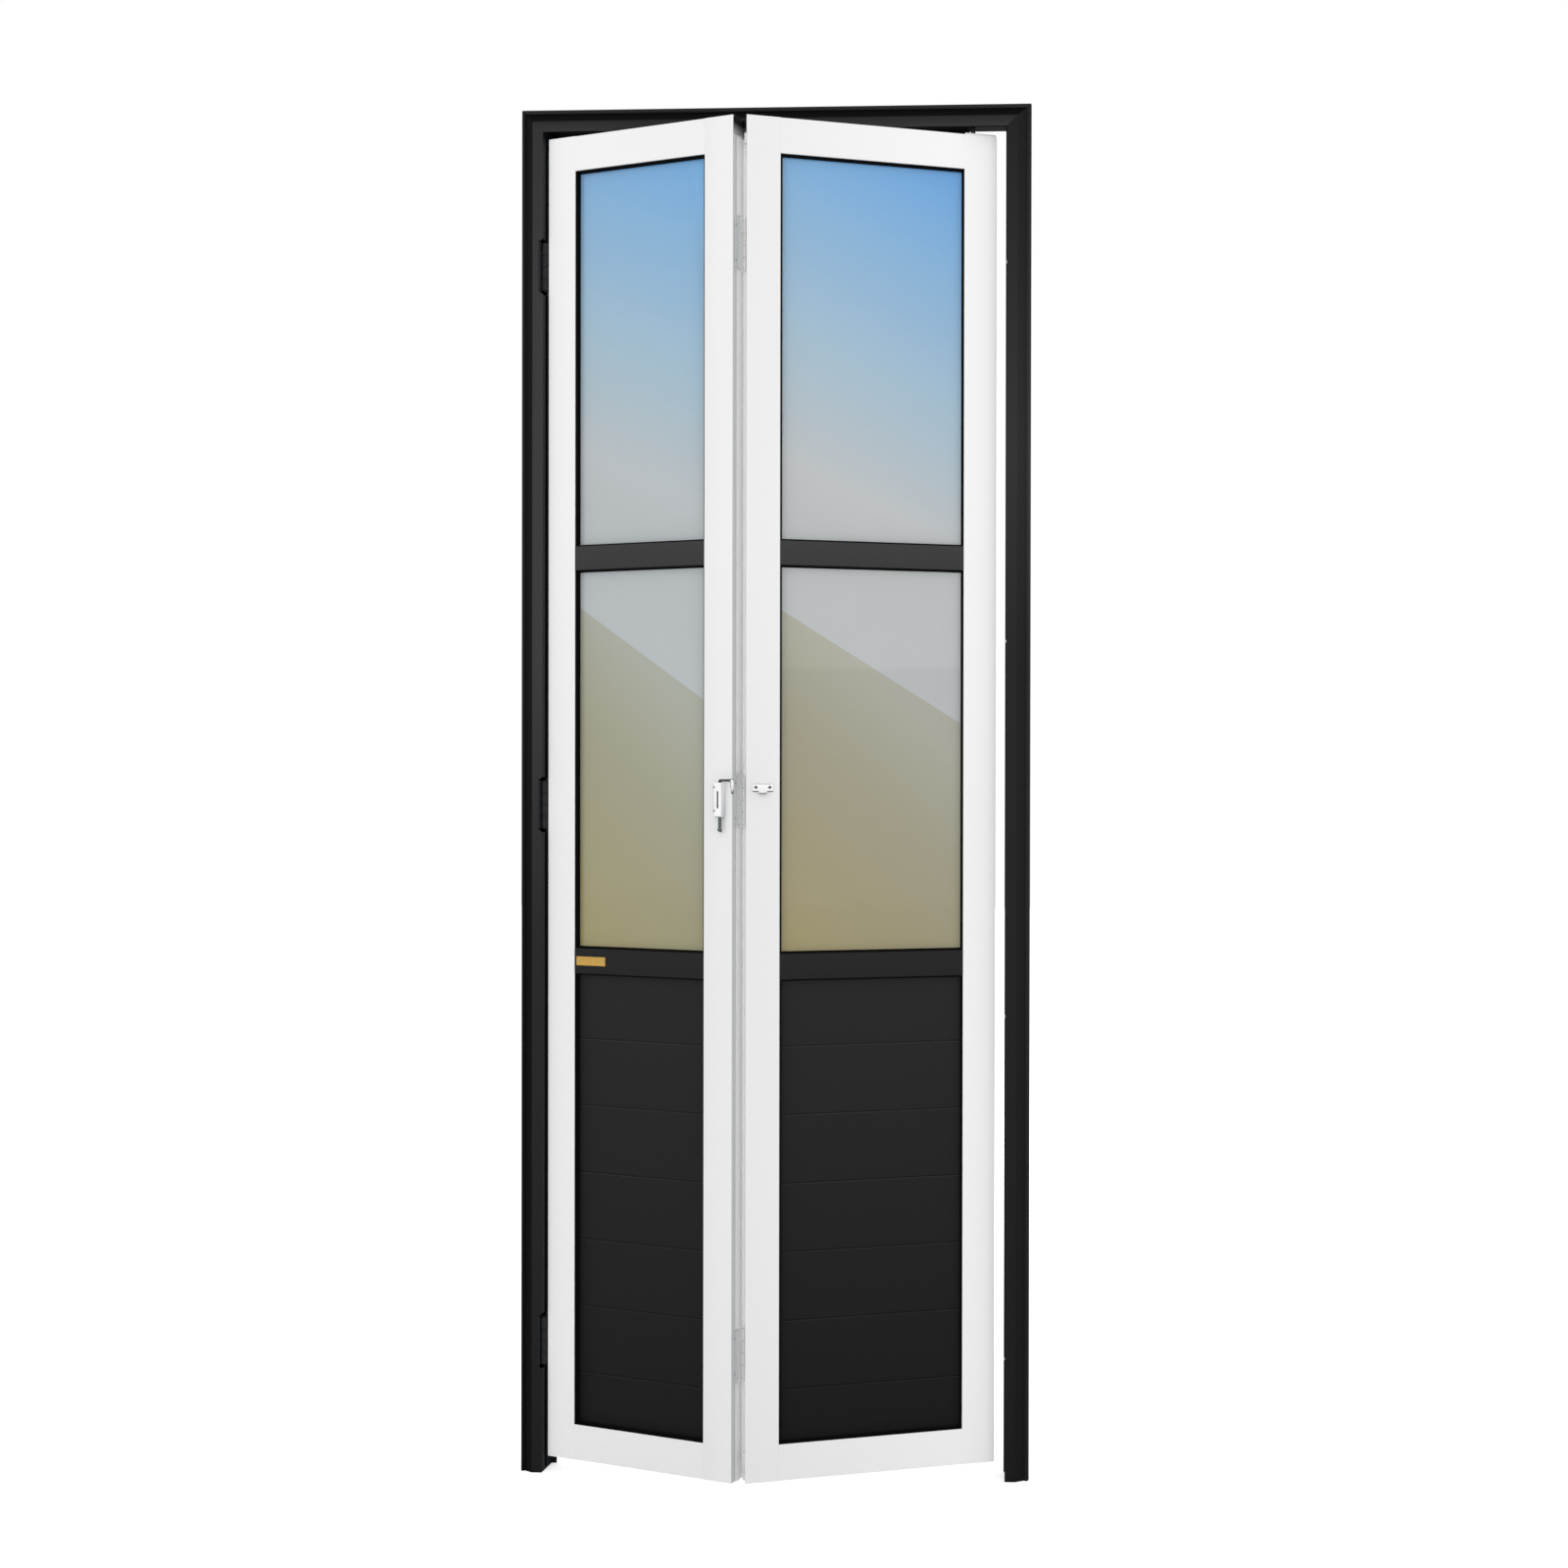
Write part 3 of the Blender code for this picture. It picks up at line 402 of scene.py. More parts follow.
def smooth_copy(node):
    """A finer-shaded stand-in for a CAD node with round faces."""
    source = frame["nodes"][node]
    piece = bpy.data.objects.new(node + "_finished", source.data.copy())
    bpy.context.scene.collection.objects.link(piece)
    hold(piece)
    if piece.data.has_custom_normals:
        bpy.ops.mesh.customdata_custom_splitnormals_clear()
    edit()
    bpy.ops.mesh.select_all(action="SELECT")
    bpy.ops.mesh.remove_doubles(threshold=0.000002)
    done()
    shade_round(35)
    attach(piece, source["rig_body"])
    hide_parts(node)
    return piece


def fold_edge(stile, finish):
    """Gives the stile's return, nose and tube at the fold their own grey, with the fold gap's light
    and shade painted into it.
    """
    hold(stile)
    stile.data.materials.append(finish)
    to_leaf = ON_LEAF_1.inverted()
    _, edge, _, back = LEAF_1
    edit()

    def at_fold(face):
        place = to_leaf @ face.calc_center_median()
        return place.x > edge - 0.0004 or place.y > back + 0.0002

    pick("faces", at_fold)
    stile.active_material_index = 1
    bpy.ops.object.material_slot_assign()
    done()


def hinge_washers(name, axis, heights, height, radius, finish, body):
    """Thin washers between a hinge's knuckles, a little proud."""
    length = height / KNUCKLES
    for label, middle in heights.items():
        rings = []
        for step in (-1, 0, 1):
            z = middle + step * length
            ring = rod(radius, (*axis, z - WASHER / 2), (*axis, z + WASHER / 2))
            modify("BEVEL", width=WASHER / 4, segments=2)
            rings.append(ring)
        whole = joined(*rings)
        shade_round(50)
        stand(whole, f"{name}_{label}_washers", finish, body)


def hinge_rebate(label, middle, finish):
    """The sloped lip that closes the trim against the knuckles, on the wall side."""
    left, right, front, back, half = 0.01945, 0.0223, -0.0141, -0.0050, 0.0379
    slope = 0.0052
    lip = block((left, front, middle - half), (right, back, middle + half))
    edit()
    pick("verts", lambda v: v.co.x > right - HAIR and v.co.y < front + HAIR)
    bpy.ops.transform.translate(value=(0, slope, 0))
    pick("verts", lambda v: v.co.x > right - HAIR and v.co.y > back - HAIR)
    bpy.ops.transform.translate(value=(-0.0020, -0.0014, 0))
    pick("edges", lambda e: below(e, Y, front + slope + HAIR) and runs(e, X) > HAIR)
    bpy.ops.mesh.subdivide(number_cuts=1)
    pick("verts", lambda v: abs(v.co.x - (left + right) / 2) < HAIR)
    bpy.ops.transform.translate(value=(0.0005, -0.0014, 0))
    done()
    soften(FINE_ROUND, 2, 20)
    return stand(lip, f"jamb_hinge_{label}_rebate", finish, "frame")


def seal_strip(name, low, high, finish, body):
    """A soft strip with a rounded edge and a ridge along its middle."""
    strip = block(low, high)
    sides = [b - a for a, b in zip(low, high)]
    thin = sides.index(min(sides))
    width = min(side for side in sides if side != sides[thin])
    edit()
    pick("faces", lambda face: abs(face.normal[thin]) > FACING)
    bpy.ops.mesh.inset(thickness=width * SEAL_RIDGE_SHARE, depth=-sides[thin] * SEAL_RISE_SHARE)
    done()
    soften(SEAL_ROUND, 2)
    return stand(strip, name, finish, body)


def corner_sealant(body, finish):
    """Beads in the grooves between a leaf's stiles and its head and foot rails, front and back."""
    left, right, face, back = LEAVES[body]
    joint_shift, end_gap = 0.0003, 0.0006
    rails = ((LEAF_FOOT, OPENINGS["slat_panel"][0]), (OPENINGS["upper_pane"][1], LEAF_TOP))
    depths = (
        (face + SEALANT_SINK, face + SEALANT_DEPTH),
        (back - SEALANT_DEPTH, back - SEALANT_SINK),
    )
    beads = []
    for joint in (left + STILE - joint_shift, right - STILE + joint_shift):
        for low, high in rails:
            for near, far in depths:
                corner = (joint - SEALANT_HALF, near, low + end_gap)
                beads.append(block(corner, (joint + SEALANT_HALF, far, high - end_gap)))
                soften(FINE_ROUND, 2)
    return stand(joined(*beads), f"{body}_corner_sealant", finish, body)


def fold_plug(finish):
    """The black plug at the head of the nose and the tube on leaf 1's fold edge."""
    _, edge, face, back = LEAF_1
    head, foot, pad_foot = LEAF_TOP - 0.0006, LEAF_TOP - 0.030, LEAF_TOP - 0.0264
    pad = block((edge - 0.0004, face + 0.0012, pad_foot), (edge + 0.0026, back - 0.0015, head))
    soften(0.0012, 4)
    tube = rod(0.0045, (*FOLD_LINE, foot), (*FOLD_LINE, head))
    soften(ROUND, 2, 60)
    neck_head = head - 0.0002
    neck = block((edge - 0.0027, back - 0.0004, foot), (edge + 0.0004, FOLD_LINE[1], neck_head))
    soften(FINE_ROUND, 2)
    return stand(joined(pad, tube, neck), "fold_edge_plug", finish, "leaf_1")


def fold_buffers(finish):
    """Rubber buffers on leaf 2's fold edge, in front of the nose."""
    edge, _, face, _ = LEAF_2
    left, right, front, back = edge - 0.0030, edge + 0.0004, face + 0.0012, face + 0.0088
    for number, (middle, length) in enumerate(BUFFERS, 1):
        pad = block((left, front, middle - length / 2), (right, back, middle + length / 2))
        edit()
        pick("faces", lambda f: f.normal.x < -FACING)
        bpy.ops.mesh.inset(thickness=0.0012, depth=0)
        bpy.ops.transform.translate(value=(-0.0003, 0, 0))
        done()
        soften(0.0011, 4)
        stand(pad, f"fold_buffer_{number}", finish, "leaf_2")


def latch_case(finish):
    """The latch housing: a screwed flange and a barrel with its slot, rod way and chamber."""
    front = LATCH_BACK - LATCH_DEPTH
    right = LATCH_MIDDLE + BARREL_HALF
    flange = block(
        (LATCH_LEFT, LATCH_BACK - LATCH_FLANGE, LATCH_FOOT), (LATCH_MIDDLE, LATCH_BACK, LATCH_HEAD)
    )
    edit()
    pick("edges", lambda e: below(e, X, LATCH_LEFT + HAIR) and runs(e, Z) < HAIR)
    bpy.ops.mesh.bevel(offset=0.0026, segments=4)
    done()
    soften(ROUND, 3)
    barrel = block((LATCH_MIDDLE - BARREL_HALF, front, LATCH_FOOT), (right, LATCH_BACK, LATCH_HEAD))
    edit()
    pick("edges", lambda e: below(e, Y, front + HAIR) and runs(e, Z) > HAIR)
    bpy.ops.mesh.bevel(offset=0.0019, segments=5)
    near = 0.0005
    pick("edges", lambda e: below(e, Z, LATCH_FOOT + near) and below(e, Y, LATCH_BACK - near))
    bpy.ops.mesh.bevel(offset=0.0012, segments=2)
    done()
    soften(ROUND, 3, 50)
    add_on(barrel, flange)
    middle = (LATCH_MIDDLE, ROD_LINE)
    wall, overrun = 0.005, 0.002
    chamber = rod(0.0047, (*middle, LATCH_FOOT + wall), (*middle, LATCH_HEAD - wall), 40)
    cut_away(barrel, chamber)
    way = rod(0.0029, (*middle, LATCH_FOOT - overrun), (*middle, LATCH_HEAD + overrun))
    cut_away(barrel, way)
    half, (low, high) = 0.0015, STUD_SLOT
    slot = block((LATCH_MIDDLE - half, front - 0.004, low), (LATCH_MIDDLE + half, ROD_LINE, high))
    soften(0.0012, 4)
    cut_away(barrel, slot)
    hold(barrel)
    shade_round(30)
    case = stand(barrel, "latch_case", finish, "leaf_1")
    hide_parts("latch_housing")
    return case


def hook_line():
    """Points along the rod: across, up and the share of its radius."""
    bends = [math.radians(15 * step) for step in range(7)]
    low = ARM_HEIGHT - ROD_BEND
    far = ARM_LENGTH - ROD_BEND
    points = [(0, TAIL_TIP + 0.004, 1.0), (0, low, 1.0)]
    for turn in bends[1:]:
        points.append((ROD_BEND - ROD_BEND * math.cos(turn), low + ROD_BEND * math.sin(turn), 1.0))
    points.append((ARM_LENGTH / 2, ARM_HEIGHT, 1.0))
    for turn in bends:
        points.append((far + ROD_BEND * math.sin(turn), low + ROD_BEND * math.cos(turn), 1.1))
    points += [
        (ARM_LENGTH, ARM_HEIGHT - 0.009, 1.05),
        (ARM_LENGTH, FINGER_TIP + 0.0022, 0.70),
        (ARM_LENGTH, FINGER_TIP + 0.0008, 0.55),
        (ARM_LENGTH, FINGER_TIP, 0.24),
    ]
    return points


def hook(finish):
    """The latch rod: tail, stem, bend, arm and hanging finger, with a slanted knob at its foot."""
    put_down()
    bpy.ops.curve.primitive_bezier_curve_add(location=(0, 0, 0))
    line = bpy.context.object
    line.data.splines.clear()
    points = hook_line()
    spline = line.data.splines.new("POLY")
    spline.points.add(len(points) - 1)
    for point, (x, z, share) in zip(spline.points, points):
        point.co = (x, 0, z, 1)
        point.radius = share
    line.data.bevel_depth = ROD_RADIUS
    line.data.bevel_resolution = 6
    line.data.use_fill_caps = True
    hold(line)
    bpy.ops.object.convert(target="MESH")
    stem = bpy.context.object
    knob = rod(0.0034, (0, 0, TAIL_TIP - 0.0004), (0, 0, TAIL_TIP + 0.0056))
    edit()
    clip((0, 0, TAIL_TIP + 0.0018), (-0.55, 0, -0.83))
    done()
    hold(knob)
    soften(0.0007, 3, 40)
    whole = joined(stem, knob)
    shade_round(50)
    piece = stand(whole, "latch_hook", finish, "latch_rod")
    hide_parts("latch_rod")
    return piece


def keeper(finish):
    """The keeper: a plate with rounded corners and the pocket that takes the hook's finger."""
    left, right = KEEPER_MIDDLE - KEEPER_HALF, KEEPER_MIDDLE + KEEPER_HALF
    front = KEEPER_BACK - KEEPER_PLATE
    plate = block((left, front, KEEPER_FOOT), (right, KEEPER_BACK, KEEPER_HEAD))
    edit()
    pick("edges", lambda e: below(e, Y, front + HAIR) and below(e, Z, KEEPER_FOOT + HAIR))
    foot_bevel = 0.0015
    bpy.ops.mesh.bevel(offset=foot_bevel, segments=1)

    def at_head(edge):
        high = not below(edge, Z, KEEPER_FOOT + foot_bevel + HAIR)
        return high and runs(edge, Y) > HAIR and runs(edge, X) < HAIR

    pick("edges", at_head)
    bpy.ops.mesh.bevel(offset=0.0016, segments=4)
    done()
    soften(FINE_ROUND, 2, 50)
    low = KEEPER_FOOT - 0.0032
    centre = (KEEPER_MIDDLE, KEEPER_BACK - 0.0045)
    pocket = rod(0.0065, (*centre, low), (*centre, KEEPER_FOOT + 0.0020), 48)
    edit()
    clip((0, KEEPER_BACK - 0.0010, 0), (0, 1, 0))
    pick("edges", lambda e: below(e, Z, low + HAIR) and below(e, Y, KEEPER_BACK - 0.0012))
    bpy.ops.mesh.bevel(offset=0.0024, segments=3)
    done()
    hold(pocket)
    soften(0.0004, 3, 50)
    add_on(plate, pocket)
    hole = (KEEPER_MIDDLE, KEEPER_BACK - 0.0062)
    cut_away(plate, rod(0.0036, (*hole, KEEPER_FOOT - 0.006), (*hole, KEEPER_FOOT + 0.006)))
    hold(plate)
    shade_round(30)
    piece = stand(plate, "keeper", finish, "leaf_2")
    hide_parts("latch_keeper")
    return piece


def nose_knuckles(label, middle, finish):
    """Four rounded lengths on a fold hinge's plate, in line with the nose, a hair apart."""
    _, edge, face, _ = LEAF_1
    left, right, front, back = edge + 0.0008, edge + 0.0019, face + 0.0110, face + 0.0250
    quarter = FOLD_HINGE_HEIGHT / KNUCKLES
    gap = 0.0005
    made = []
    for step in range(KNUCKLES):
        low = middle + (step - 2) * quarter
        high = low + quarter - (gap if step < KNUCKLES - 1 else 0)
        length = block((left, front, low + (gap if step else 0)), (right, back, high))
        edit()
        pick("edges", lambda e: not below(e, X, right - HAIR) and runs(e, Z) > 0.01)
        bpy.ops.mesh.bevel(offset=0.0010, segments=4)
        done()
        soften(FINE_ROUND, 2, 50)
        made.append(length)
    return stand(joined(*made), f"fold_hinge_{label}_cover", finish, "leaf_1")


def end_bushings(label, middle, finish):
    """Nylon bushings that fill the hinge line between a fold hinge's pin ends and the tube."""
    _, edge, _, back = LEAF_1
    made = []
    for side in (-1, 1):
        low, high = sorted((middle + side * 0.0371, middle + side * 0.0418))
        bushing = rod(0.0043, (*FOLD_LINE, low), (*FOLD_LINE, high))
        soften(FINE_ROUND, 2, 50)
        neck = block((edge - 0.0004, back - 0.0050, low), (edge + 0.0026, FOLD_LINE[1], high))
        soften(FAINT_ROUND, 2)
        made += [bushing, neck]
    return stand(joined(*made), f"fold_hinge_{label}_bushings", finish, "leaf_1")


def brass_plate(finish, rivet_finish):
    """A plain plate with a raised border and two rivets on leaf 1's lower middle rail."""
    left, right, low, high = 0.0612, 0.1145, 0.7957, 0.8095
    face = LEAF_1[2]
    front = face - 0.0009
    plate = block((left, front, low), (right, face + 0.0001, high))
    edit()
    pick("faces", lambda f: f.normal.y < -FACING)
    bpy.ops.mesh.inset(thickness=0.0011, depth=0)
    bpy.ops.mesh.inset(thickness=0.0005, depth=-0.0003)
    done()
    soften(FAINT_ROUND, 2)
    stand(plate, "rail_plate", finish, "leaf_1")
    inward = 0.0038
    places = [(x, front, (low + high) / 2) for x in (left + inward, right - inward)]
    screws("rail_plate_rivets", places, (0, -1, 0), RIVET, rivet_finish, "leaf_1")


def corner_key(name, x, finish):
    """The angle plate behind a mitre."""
    half, front, back = 0.0085, -0.0042, -0.0030
    key = block((x - half, front, TRIM_TOP - 0.0165), (x + half, back, TRIM_TOP - 0.0014))
    soften(FINE_ROUND, 2)
    return stand(key, name, finish, "frame")


# Finishes.

# Grains to the metre of the coats' specks and of their orange peel.
SPECKS = 620
PEEL = 420
FOLD_EDGE_DEPTH = 0.0345

# Painted reflection on the glass: sky over haze, from the top of the upper pane down, and olive
# ground below a slanting edge.
SKY = (
    (0.0, (104, 164, 222)),
    (0.136, (119, 172, 219)),
    (0.273, (134, 178, 215)),
    (0.41, (147, 182, 211)),
    (0.545, (160, 188, 208)),
    (0.68, (171, 190, 202)),
    (0.795, (181, 191, 197)),
    (0.89, (190, 193, 195)),
    (1.0, (187, 190, 191)),
)
SKY_DEPTH = 0.66
GROUND = (
    (0.0, (165, 154, 111)),
    (0.35, (162, 155, 123)),
    (0.65, (163, 159, 136)),
    (1.0, (173, 173, 160)),
)
GROUND_SLANT = 0.9
GROUND_DEPTH = 0.52
GROUND_RISE = 0.02
EDGE_BLUR = 0.0012

# Light across each trim, from its outer edge: bead, groove, slope, flat.
LEFT_BANDS = (
    *((0.0, 1.5), (0.05, 1.2), (0.09, 0.3), (0.165, 0.28)),
    *((0.19, 0.02), (0.22, 0.16), (0.54, 0.15), (0.57, 1.0)),
)
HEAD_BANDS = (
    *((0.0, 1.0), (0.10, 0.7), (0.165, 0.8), (0.19, 0.0)),
    *((0.22, 0.01), (0.54, 0.03), (0.57, 0.7), (0.95, 1.1)),
)
RIGHT_BANDS = (
    *((0.0, 1.6), (0.05, 1.3), (0.09, 1.0), (0.165, 1.3)),
    *((0.19, 0.5), (0.22, 0.75), (0.54, 0.8), (0.57, 1.0)),
)
# Painted light and shade along each trim, from foot to head.
LEFT_HEIGHTS = ((0.0, 30), (0.40, 41), (0.50, 50), (0.60, 59), (0.85, 58), (1.0, 49))
HEAD_HEIGHTS = ((0.0, 50), (1.0, 50))
RIGHT_HEIGHTS = ((0.0, 27), (0.35, 34), (0.60, 38), (0.75, 50), (0.85, 44), (1.0, 33))
# Light on the slats' edges, from those that face down to those that face up.
SLAT_EDGES = ((0.2, 0.7), (0.4, 1.0), (0.6, 1.0), (0.8, 2.6))
SLATS_LOW, SLATS_HIGH = 0.08, 0.78
# Painted shade across the leaves' middle height, from foot to head.
MIDDLE_SHADE = ((0, 1), (0.3, 0.978), (0.47, 0.968), (0.7, 1))

# Greys of the fold hinges and of leaf 1's fold edge, from face to hinge line: a grey of their own,
# painted darker on the return and lighter deeper in, where the gap's shade falls.
HINGE_GREYS = (
    (0.0, (186, 188, 190)),
    (0.29, (193, 196, 198)),
    (0.5, 232),
    (0.68, 242),
    (1.0, 240),
)
NOSE_GREYS = (
    (0.0, (188, 190, 192)),
    (0.28, (190, 192, 194)),
    (0.31, 213),
    (0.45, 237),
    (0.6, 252),
    (0.8, 250),
    (1.0, 246),
)
# Painted shade on the latch case and the keeper: darker underneath and on the sides turned from the
# light.
LATCH_WHITES = ((0.12, (90, 94, 98)), (0.30, (170, 174, 178)), (0.43, (208, 210, 212)), (0.60, 243))
KEEPER_WHITES = ((0.22, (84, 88, 94)), (0.42, 225), (0.5, 239))
# Painted light on the latch rod: the stem and arm lit from above and shaded below, the finger with
# a painted highlight on its front and darker edges.
STEM_LIT_FROM_ABOVE = ((0.0, (52, 58, 66)), (0.5, (100, 106, 106)), (0.70, (84, 92, 94)), (0.90, 236))
FINGER_LIT_FROM_FRONT = ((0.50, (70, 76, 80)), (0.74, 165), (0.88, 250))
# Painted shade on the finger, darkest at its tip.
TIP_SHADE = ((0.1, 0.06), (0.45, 0.35), (1, 1))
TIP_LENGTH = 0.0075


def linear(level):
    """A shade from 0 to 255 as the renderer counts it."""
    share = level / 255
    return share / 12.92 if share <= 0.04045 else ((share + 0.055) / 1.055) ** 2.4


def shade(*levels):
    """A colour from one level, a grey, or from three."""
    if len(levels) == 1:
        levels = levels * 3
    return tuple(linear(level) for level in levels)


def tones(stops):
    """Stops of levels from 0 to 255, one or three each, as a scale of shades takes them."""
    return [(at, shade(*(level if isinstance(level, tuple) else (level,)))) for at, level in stops]


def shares(*stops):
    """Stops of plain shares, 1 for unchanged, as a scale of shades takes them."""
    return [(at, (share,) * 3) for at, share in stops]


def new_finish(name, roughness, metallic=0.0, specular=0.5):
    finish = bpy.data.materials.new(name)
    finish.use_nodes = True
    tree = finish.node_tree
    shader = tree.nodes["Principled BSDF"]
    shader.inputs["Roughness"].default_value = roughness
    shader.inputs["Metallic"].default_value = metallic
    shader.inputs["Specular IOR Level"].default_value = specular
    return finish, tree, shader


def place_on_piece(tree):
    """Where a point of the piece is, in metres."""
    return tree.nodes.new("ShaderNodeTexCoord").outputs["Object"]


def grain(tree, scale, detail=2.0, stretch=(1, 1, 1)):
    """Noise over the piece, so many grains to the metre."""
    spread = tree.nodes.new("ShaderNodeMapping")
    spread.inputs["Scale"].default_value = stretch
    noise = tree.nodes.new("ShaderNodeTexNoise")
    noise.inputs["Scale"].default_value = scale
    noise.inputs["Detail"].default_value = detail
    tree.links.new(place_on_piece(tree), spread.inputs["Vector"])
    tree.links.new(spread.outputs["Vector"], noise.inputs["Vector"])
    return noise.outputs["Fac"]


def along(tree, direction, start, end):
    """0 to 1 along a direction in space, between two distances."""
    measure = tree.nodes.new("ShaderNodeVectorMath")
    measure.operation = "DOT_PRODUCT"
    measure.inputs[1].default_value = direction
    span = tree.nodes.new("ShaderNodeMapRange")
    span.inputs["From Min"].default_value = start
    span.inputs["From Max"].default_value = end
    tree.links.new(place_on_piece(tree), measure.inputs[0])
    tree.links.new(measure.outputs["Value"], span.inputs["Value"])
    return span.outputs["Result"]


def facing(tree, direction):
    """How far a surface faces a direction, from 0 to 1."""
    turned = tree.nodes.new("ShaderNodeNewGeometry")
    measure = tree.nodes.new("ShaderNodeVectorMath")
    measure.operation = "DOT_PRODUCT"
    measure.inputs[1].default_value = direction
    span = tree.nodes.new("ShaderNodeMapRange")
    span.inputs["From Min"].default_value = -1
    span.inputs["From Max"].default_value = 1
    tree.links.new(turned.outputs["Normal"], measure.inputs[0])
    tree.links.new(measure.outputs["Value"], span.inputs["Value"])
    return span.outputs["Result"]


def scale_of_shades(tree, share, stops):
    """Colours along a share from 0 to 1."""
    colours = tree.nodes.new("ShaderNodeValToRGB")
    row = colours.color_ramp.elements
    while len(row) < len(stops):
        row.new(0.5)
    for element, (at, tone) in zip(row, stops):
        element.position = at
        element.color = (*tone, 1)
    tree.links.new(share, colours.inputs["Fac"])
    return colours.outputs["Color"]


def mixed(tree, kind, share, first, second):
    """Two colours mixed by a share, which is a number or a socket."""
    mix = tree.nodes.new("ShaderNodeMix")
    mix.data_type = "RGBA"
    mix.blend_type = kind
    for socket, value in zip([s for s in mix.inputs if s.enabled], (share, first, second)):
        if isinstance(value, tuple):
            socket.default_value = (*value, 1)
        elif isinstance(value, float):
            socket.default_value = value
        else:
            tree.links.new(value, socket)
    return next(s for s in mix.outputs if s.enabled)


def paint(tree, shader, tone, *others):
    """Colours a shader with a tone, multiplied by the others."""
    for other in others:
        tone = mixed(tree, "MULTIPLY", 1.0, tone, other)
    tree.links.new(tone, shader.inputs["Base Color"])


def bump(tree, shader, height, depth, strength=0.6):
    rough = tree.nodes.new("ShaderNodeBump")
    rough.inputs["Distance"].default_value = depth
    rough.inputs["Strength"].default_value = strength
    tree.links.new(height, rough.inputs["Height"])
    tree.links.new(rough.outputs["Normal"], shader.inputs["Normal"])


def powder_coat(name, low, high, foot, head, roughness, specular, grit, depth, edges=()):
    """Powder-coated aluminium, with light and shade painted in from one tone at its foot to another
    at its head; given edges, the edges that face down are painted darker and those that face up
    take a painted highlight.
    """
    finish, tree, shader = new_finish(name, roughness, specular=specular)
    tone = scale_of_shades(tree, along(tree, UP, foot, head), ((0, low), (1, high)))
    specks = scale_of_shades(tree, grain(tree, SPECKS, 3), shares((0.35, 1 - grit), (0.66, 1)))
    layers = [specks]
    if edges:
        layers.insert(0, scale_of_shades(tree, facing(tree, UP), shares(*edges)))
    paint(tree, shader, tone, *layers)
    bump(tree, shader, grain(tree, PEEL, 2), depth)
    return finish


def leaf_coat(name, across, foot, head):
    """A leaf's white coat with light and shade painted in. Foot and head each give the tone at the
    leaf's left and right, and the middle height is shaded darker.
    """
    finish, tree, shader = new_finish(name, 0.4, specular=0.3)
    height = along(tree, UP, 0.0, 2.1)
    left, right = (
        scale_of_shades(tree, height, tones(((0, foot[side]), (1, head[side])))) for side in (0, 1)
    )
    tone = mixed(tree, "MIX", along(tree, (1, 0, 0), *across), left, right)
    middle_shade = scale_of_shades(tree, height, shares(*MIDDLE_SHADE))
    specks = scale_of_shades(tree, grain(tree, SPECKS, 3), shares((0.35, 0.988), (0.66, 1)))
    paint(tree, shader, tone, middle_shade, specks)
    bump(tree, shader, grain(tree, PEEL, 2), 0.000015)
    return finish


def frame_coat(name, heights, direction, outer, bands):
    """The trims' black coat with painted light: it falls across the section in bands, from the
    outer edge, and changes from foot to head.
    """
    finish, tree, shader = new_finish(name, 0.55, specular=0.04)
    tone = scale_of_shades(tree, along(tree, UP, 0.0, TRIM_TOP), tones(heights))
    across = along(tree, direction, outer, outer + TRIM_WIDTH)
    light = scale_of_shades(tree, across, shares(*bands))
    specks = scale_of_shades(tree, grain(tree, 900, 3), shares((0.34, 0.80), (0.66, 1.10)))
    paint(tree, shader, tone, light, specks)
    bump(tree, shader, grain(tree, PEEL, 2), 0.00005)
    return finish


def fold_edge_coat(name, stops, roughness=0.4):
    """A coat whose tone follows the depth of leaf 1's fold edge, from face to hinge line, painting
    the fold gap's light and shade into its grey.
    """
    finish, tree, shader = new_finish(name, roughness, specular=0.3)
    depth = Vector((math.sin(FOLD), math.cos(FOLD), 0))
    start = JAMB_AXIS.dot(depth) + LEAF_1[2]
    deep = along(tree, depth, start, start + FOLD_EDGE_DEPTH)
    mottle = scale_of_shades(tree, grain(tree, 90, 2), shares((0.3, 0.975), (0.7, 1)))
    paint(tree, shader, scale_of_shades(tree, deep, tones(stops)), mottle)
    bump(tree, shader, grain(tree, 400, 2), 0.00001, 0.3)
    return finish


def pane_with_painted_reflection(name, right, tilt, edge_left, edge_height, edge_slope, painted_light_lift):
    """Glass with a painted reflection of sky over haze, and of olive ground below a slanting edge;
    the painted light lift brightens a pane's colour.
    """
    finish, tree, shader = new_finish(name, 0.03, specular=0.4)
    top = OPENINGS["upper_pane"][1] + tilt * right
    sky = scale_of_shades(tree, along(tree, (-tilt, 0, -1), -top, -top + SKY_DEPTH), tones(SKY))
    ground_top = edge_height + GROUND_SLANT * edge_left
    rise = along(tree, (GROUND_SLANT, 0, 1), ground_top - GROUND_DEPTH, ground_top + GROUND_RISE)
    ground = scale_of_shades(tree, rise, tones(GROUND))
    level = edge_height - edge_slope * edge_left
    step = along(tree, (-edge_slope, 0, 1), level - EDGE_BLUR, level + EDGE_BLUR)
    view = mixed(tree, "MIX", step, ground, sky)
    waves = scale_of_shades(tree, grain(tree, 2.2, 1, (1, 1, 0.5)), shares((0.3, 0.985), (0.7, 1)))
    paint(tree, shader, view, painted_light_lift, waves)
    shader.inputs["IOR"].default_value = 1.5
    shader.inputs["Transmission Weight"].default_value = 0.25
    return finish


def painted(name, tone, roughness, metallic=0.0, scale=400, depth=0.00002, specular=0.5):
    """A painted, moulded or bare metal surface with a fine grain."""
    finish, tree, shader = new_finish(name, roughness, metallic, specular)
    height = grain(tree, scale, 3)
    worn = tuple(0.9 * level for level in tone)
    paint(tree, shader, scale_of_shades(tree, height, ((0.3, worn), (0.7, tone))))
    bump(tree, shader, height, depth, 0.4)
    return finish


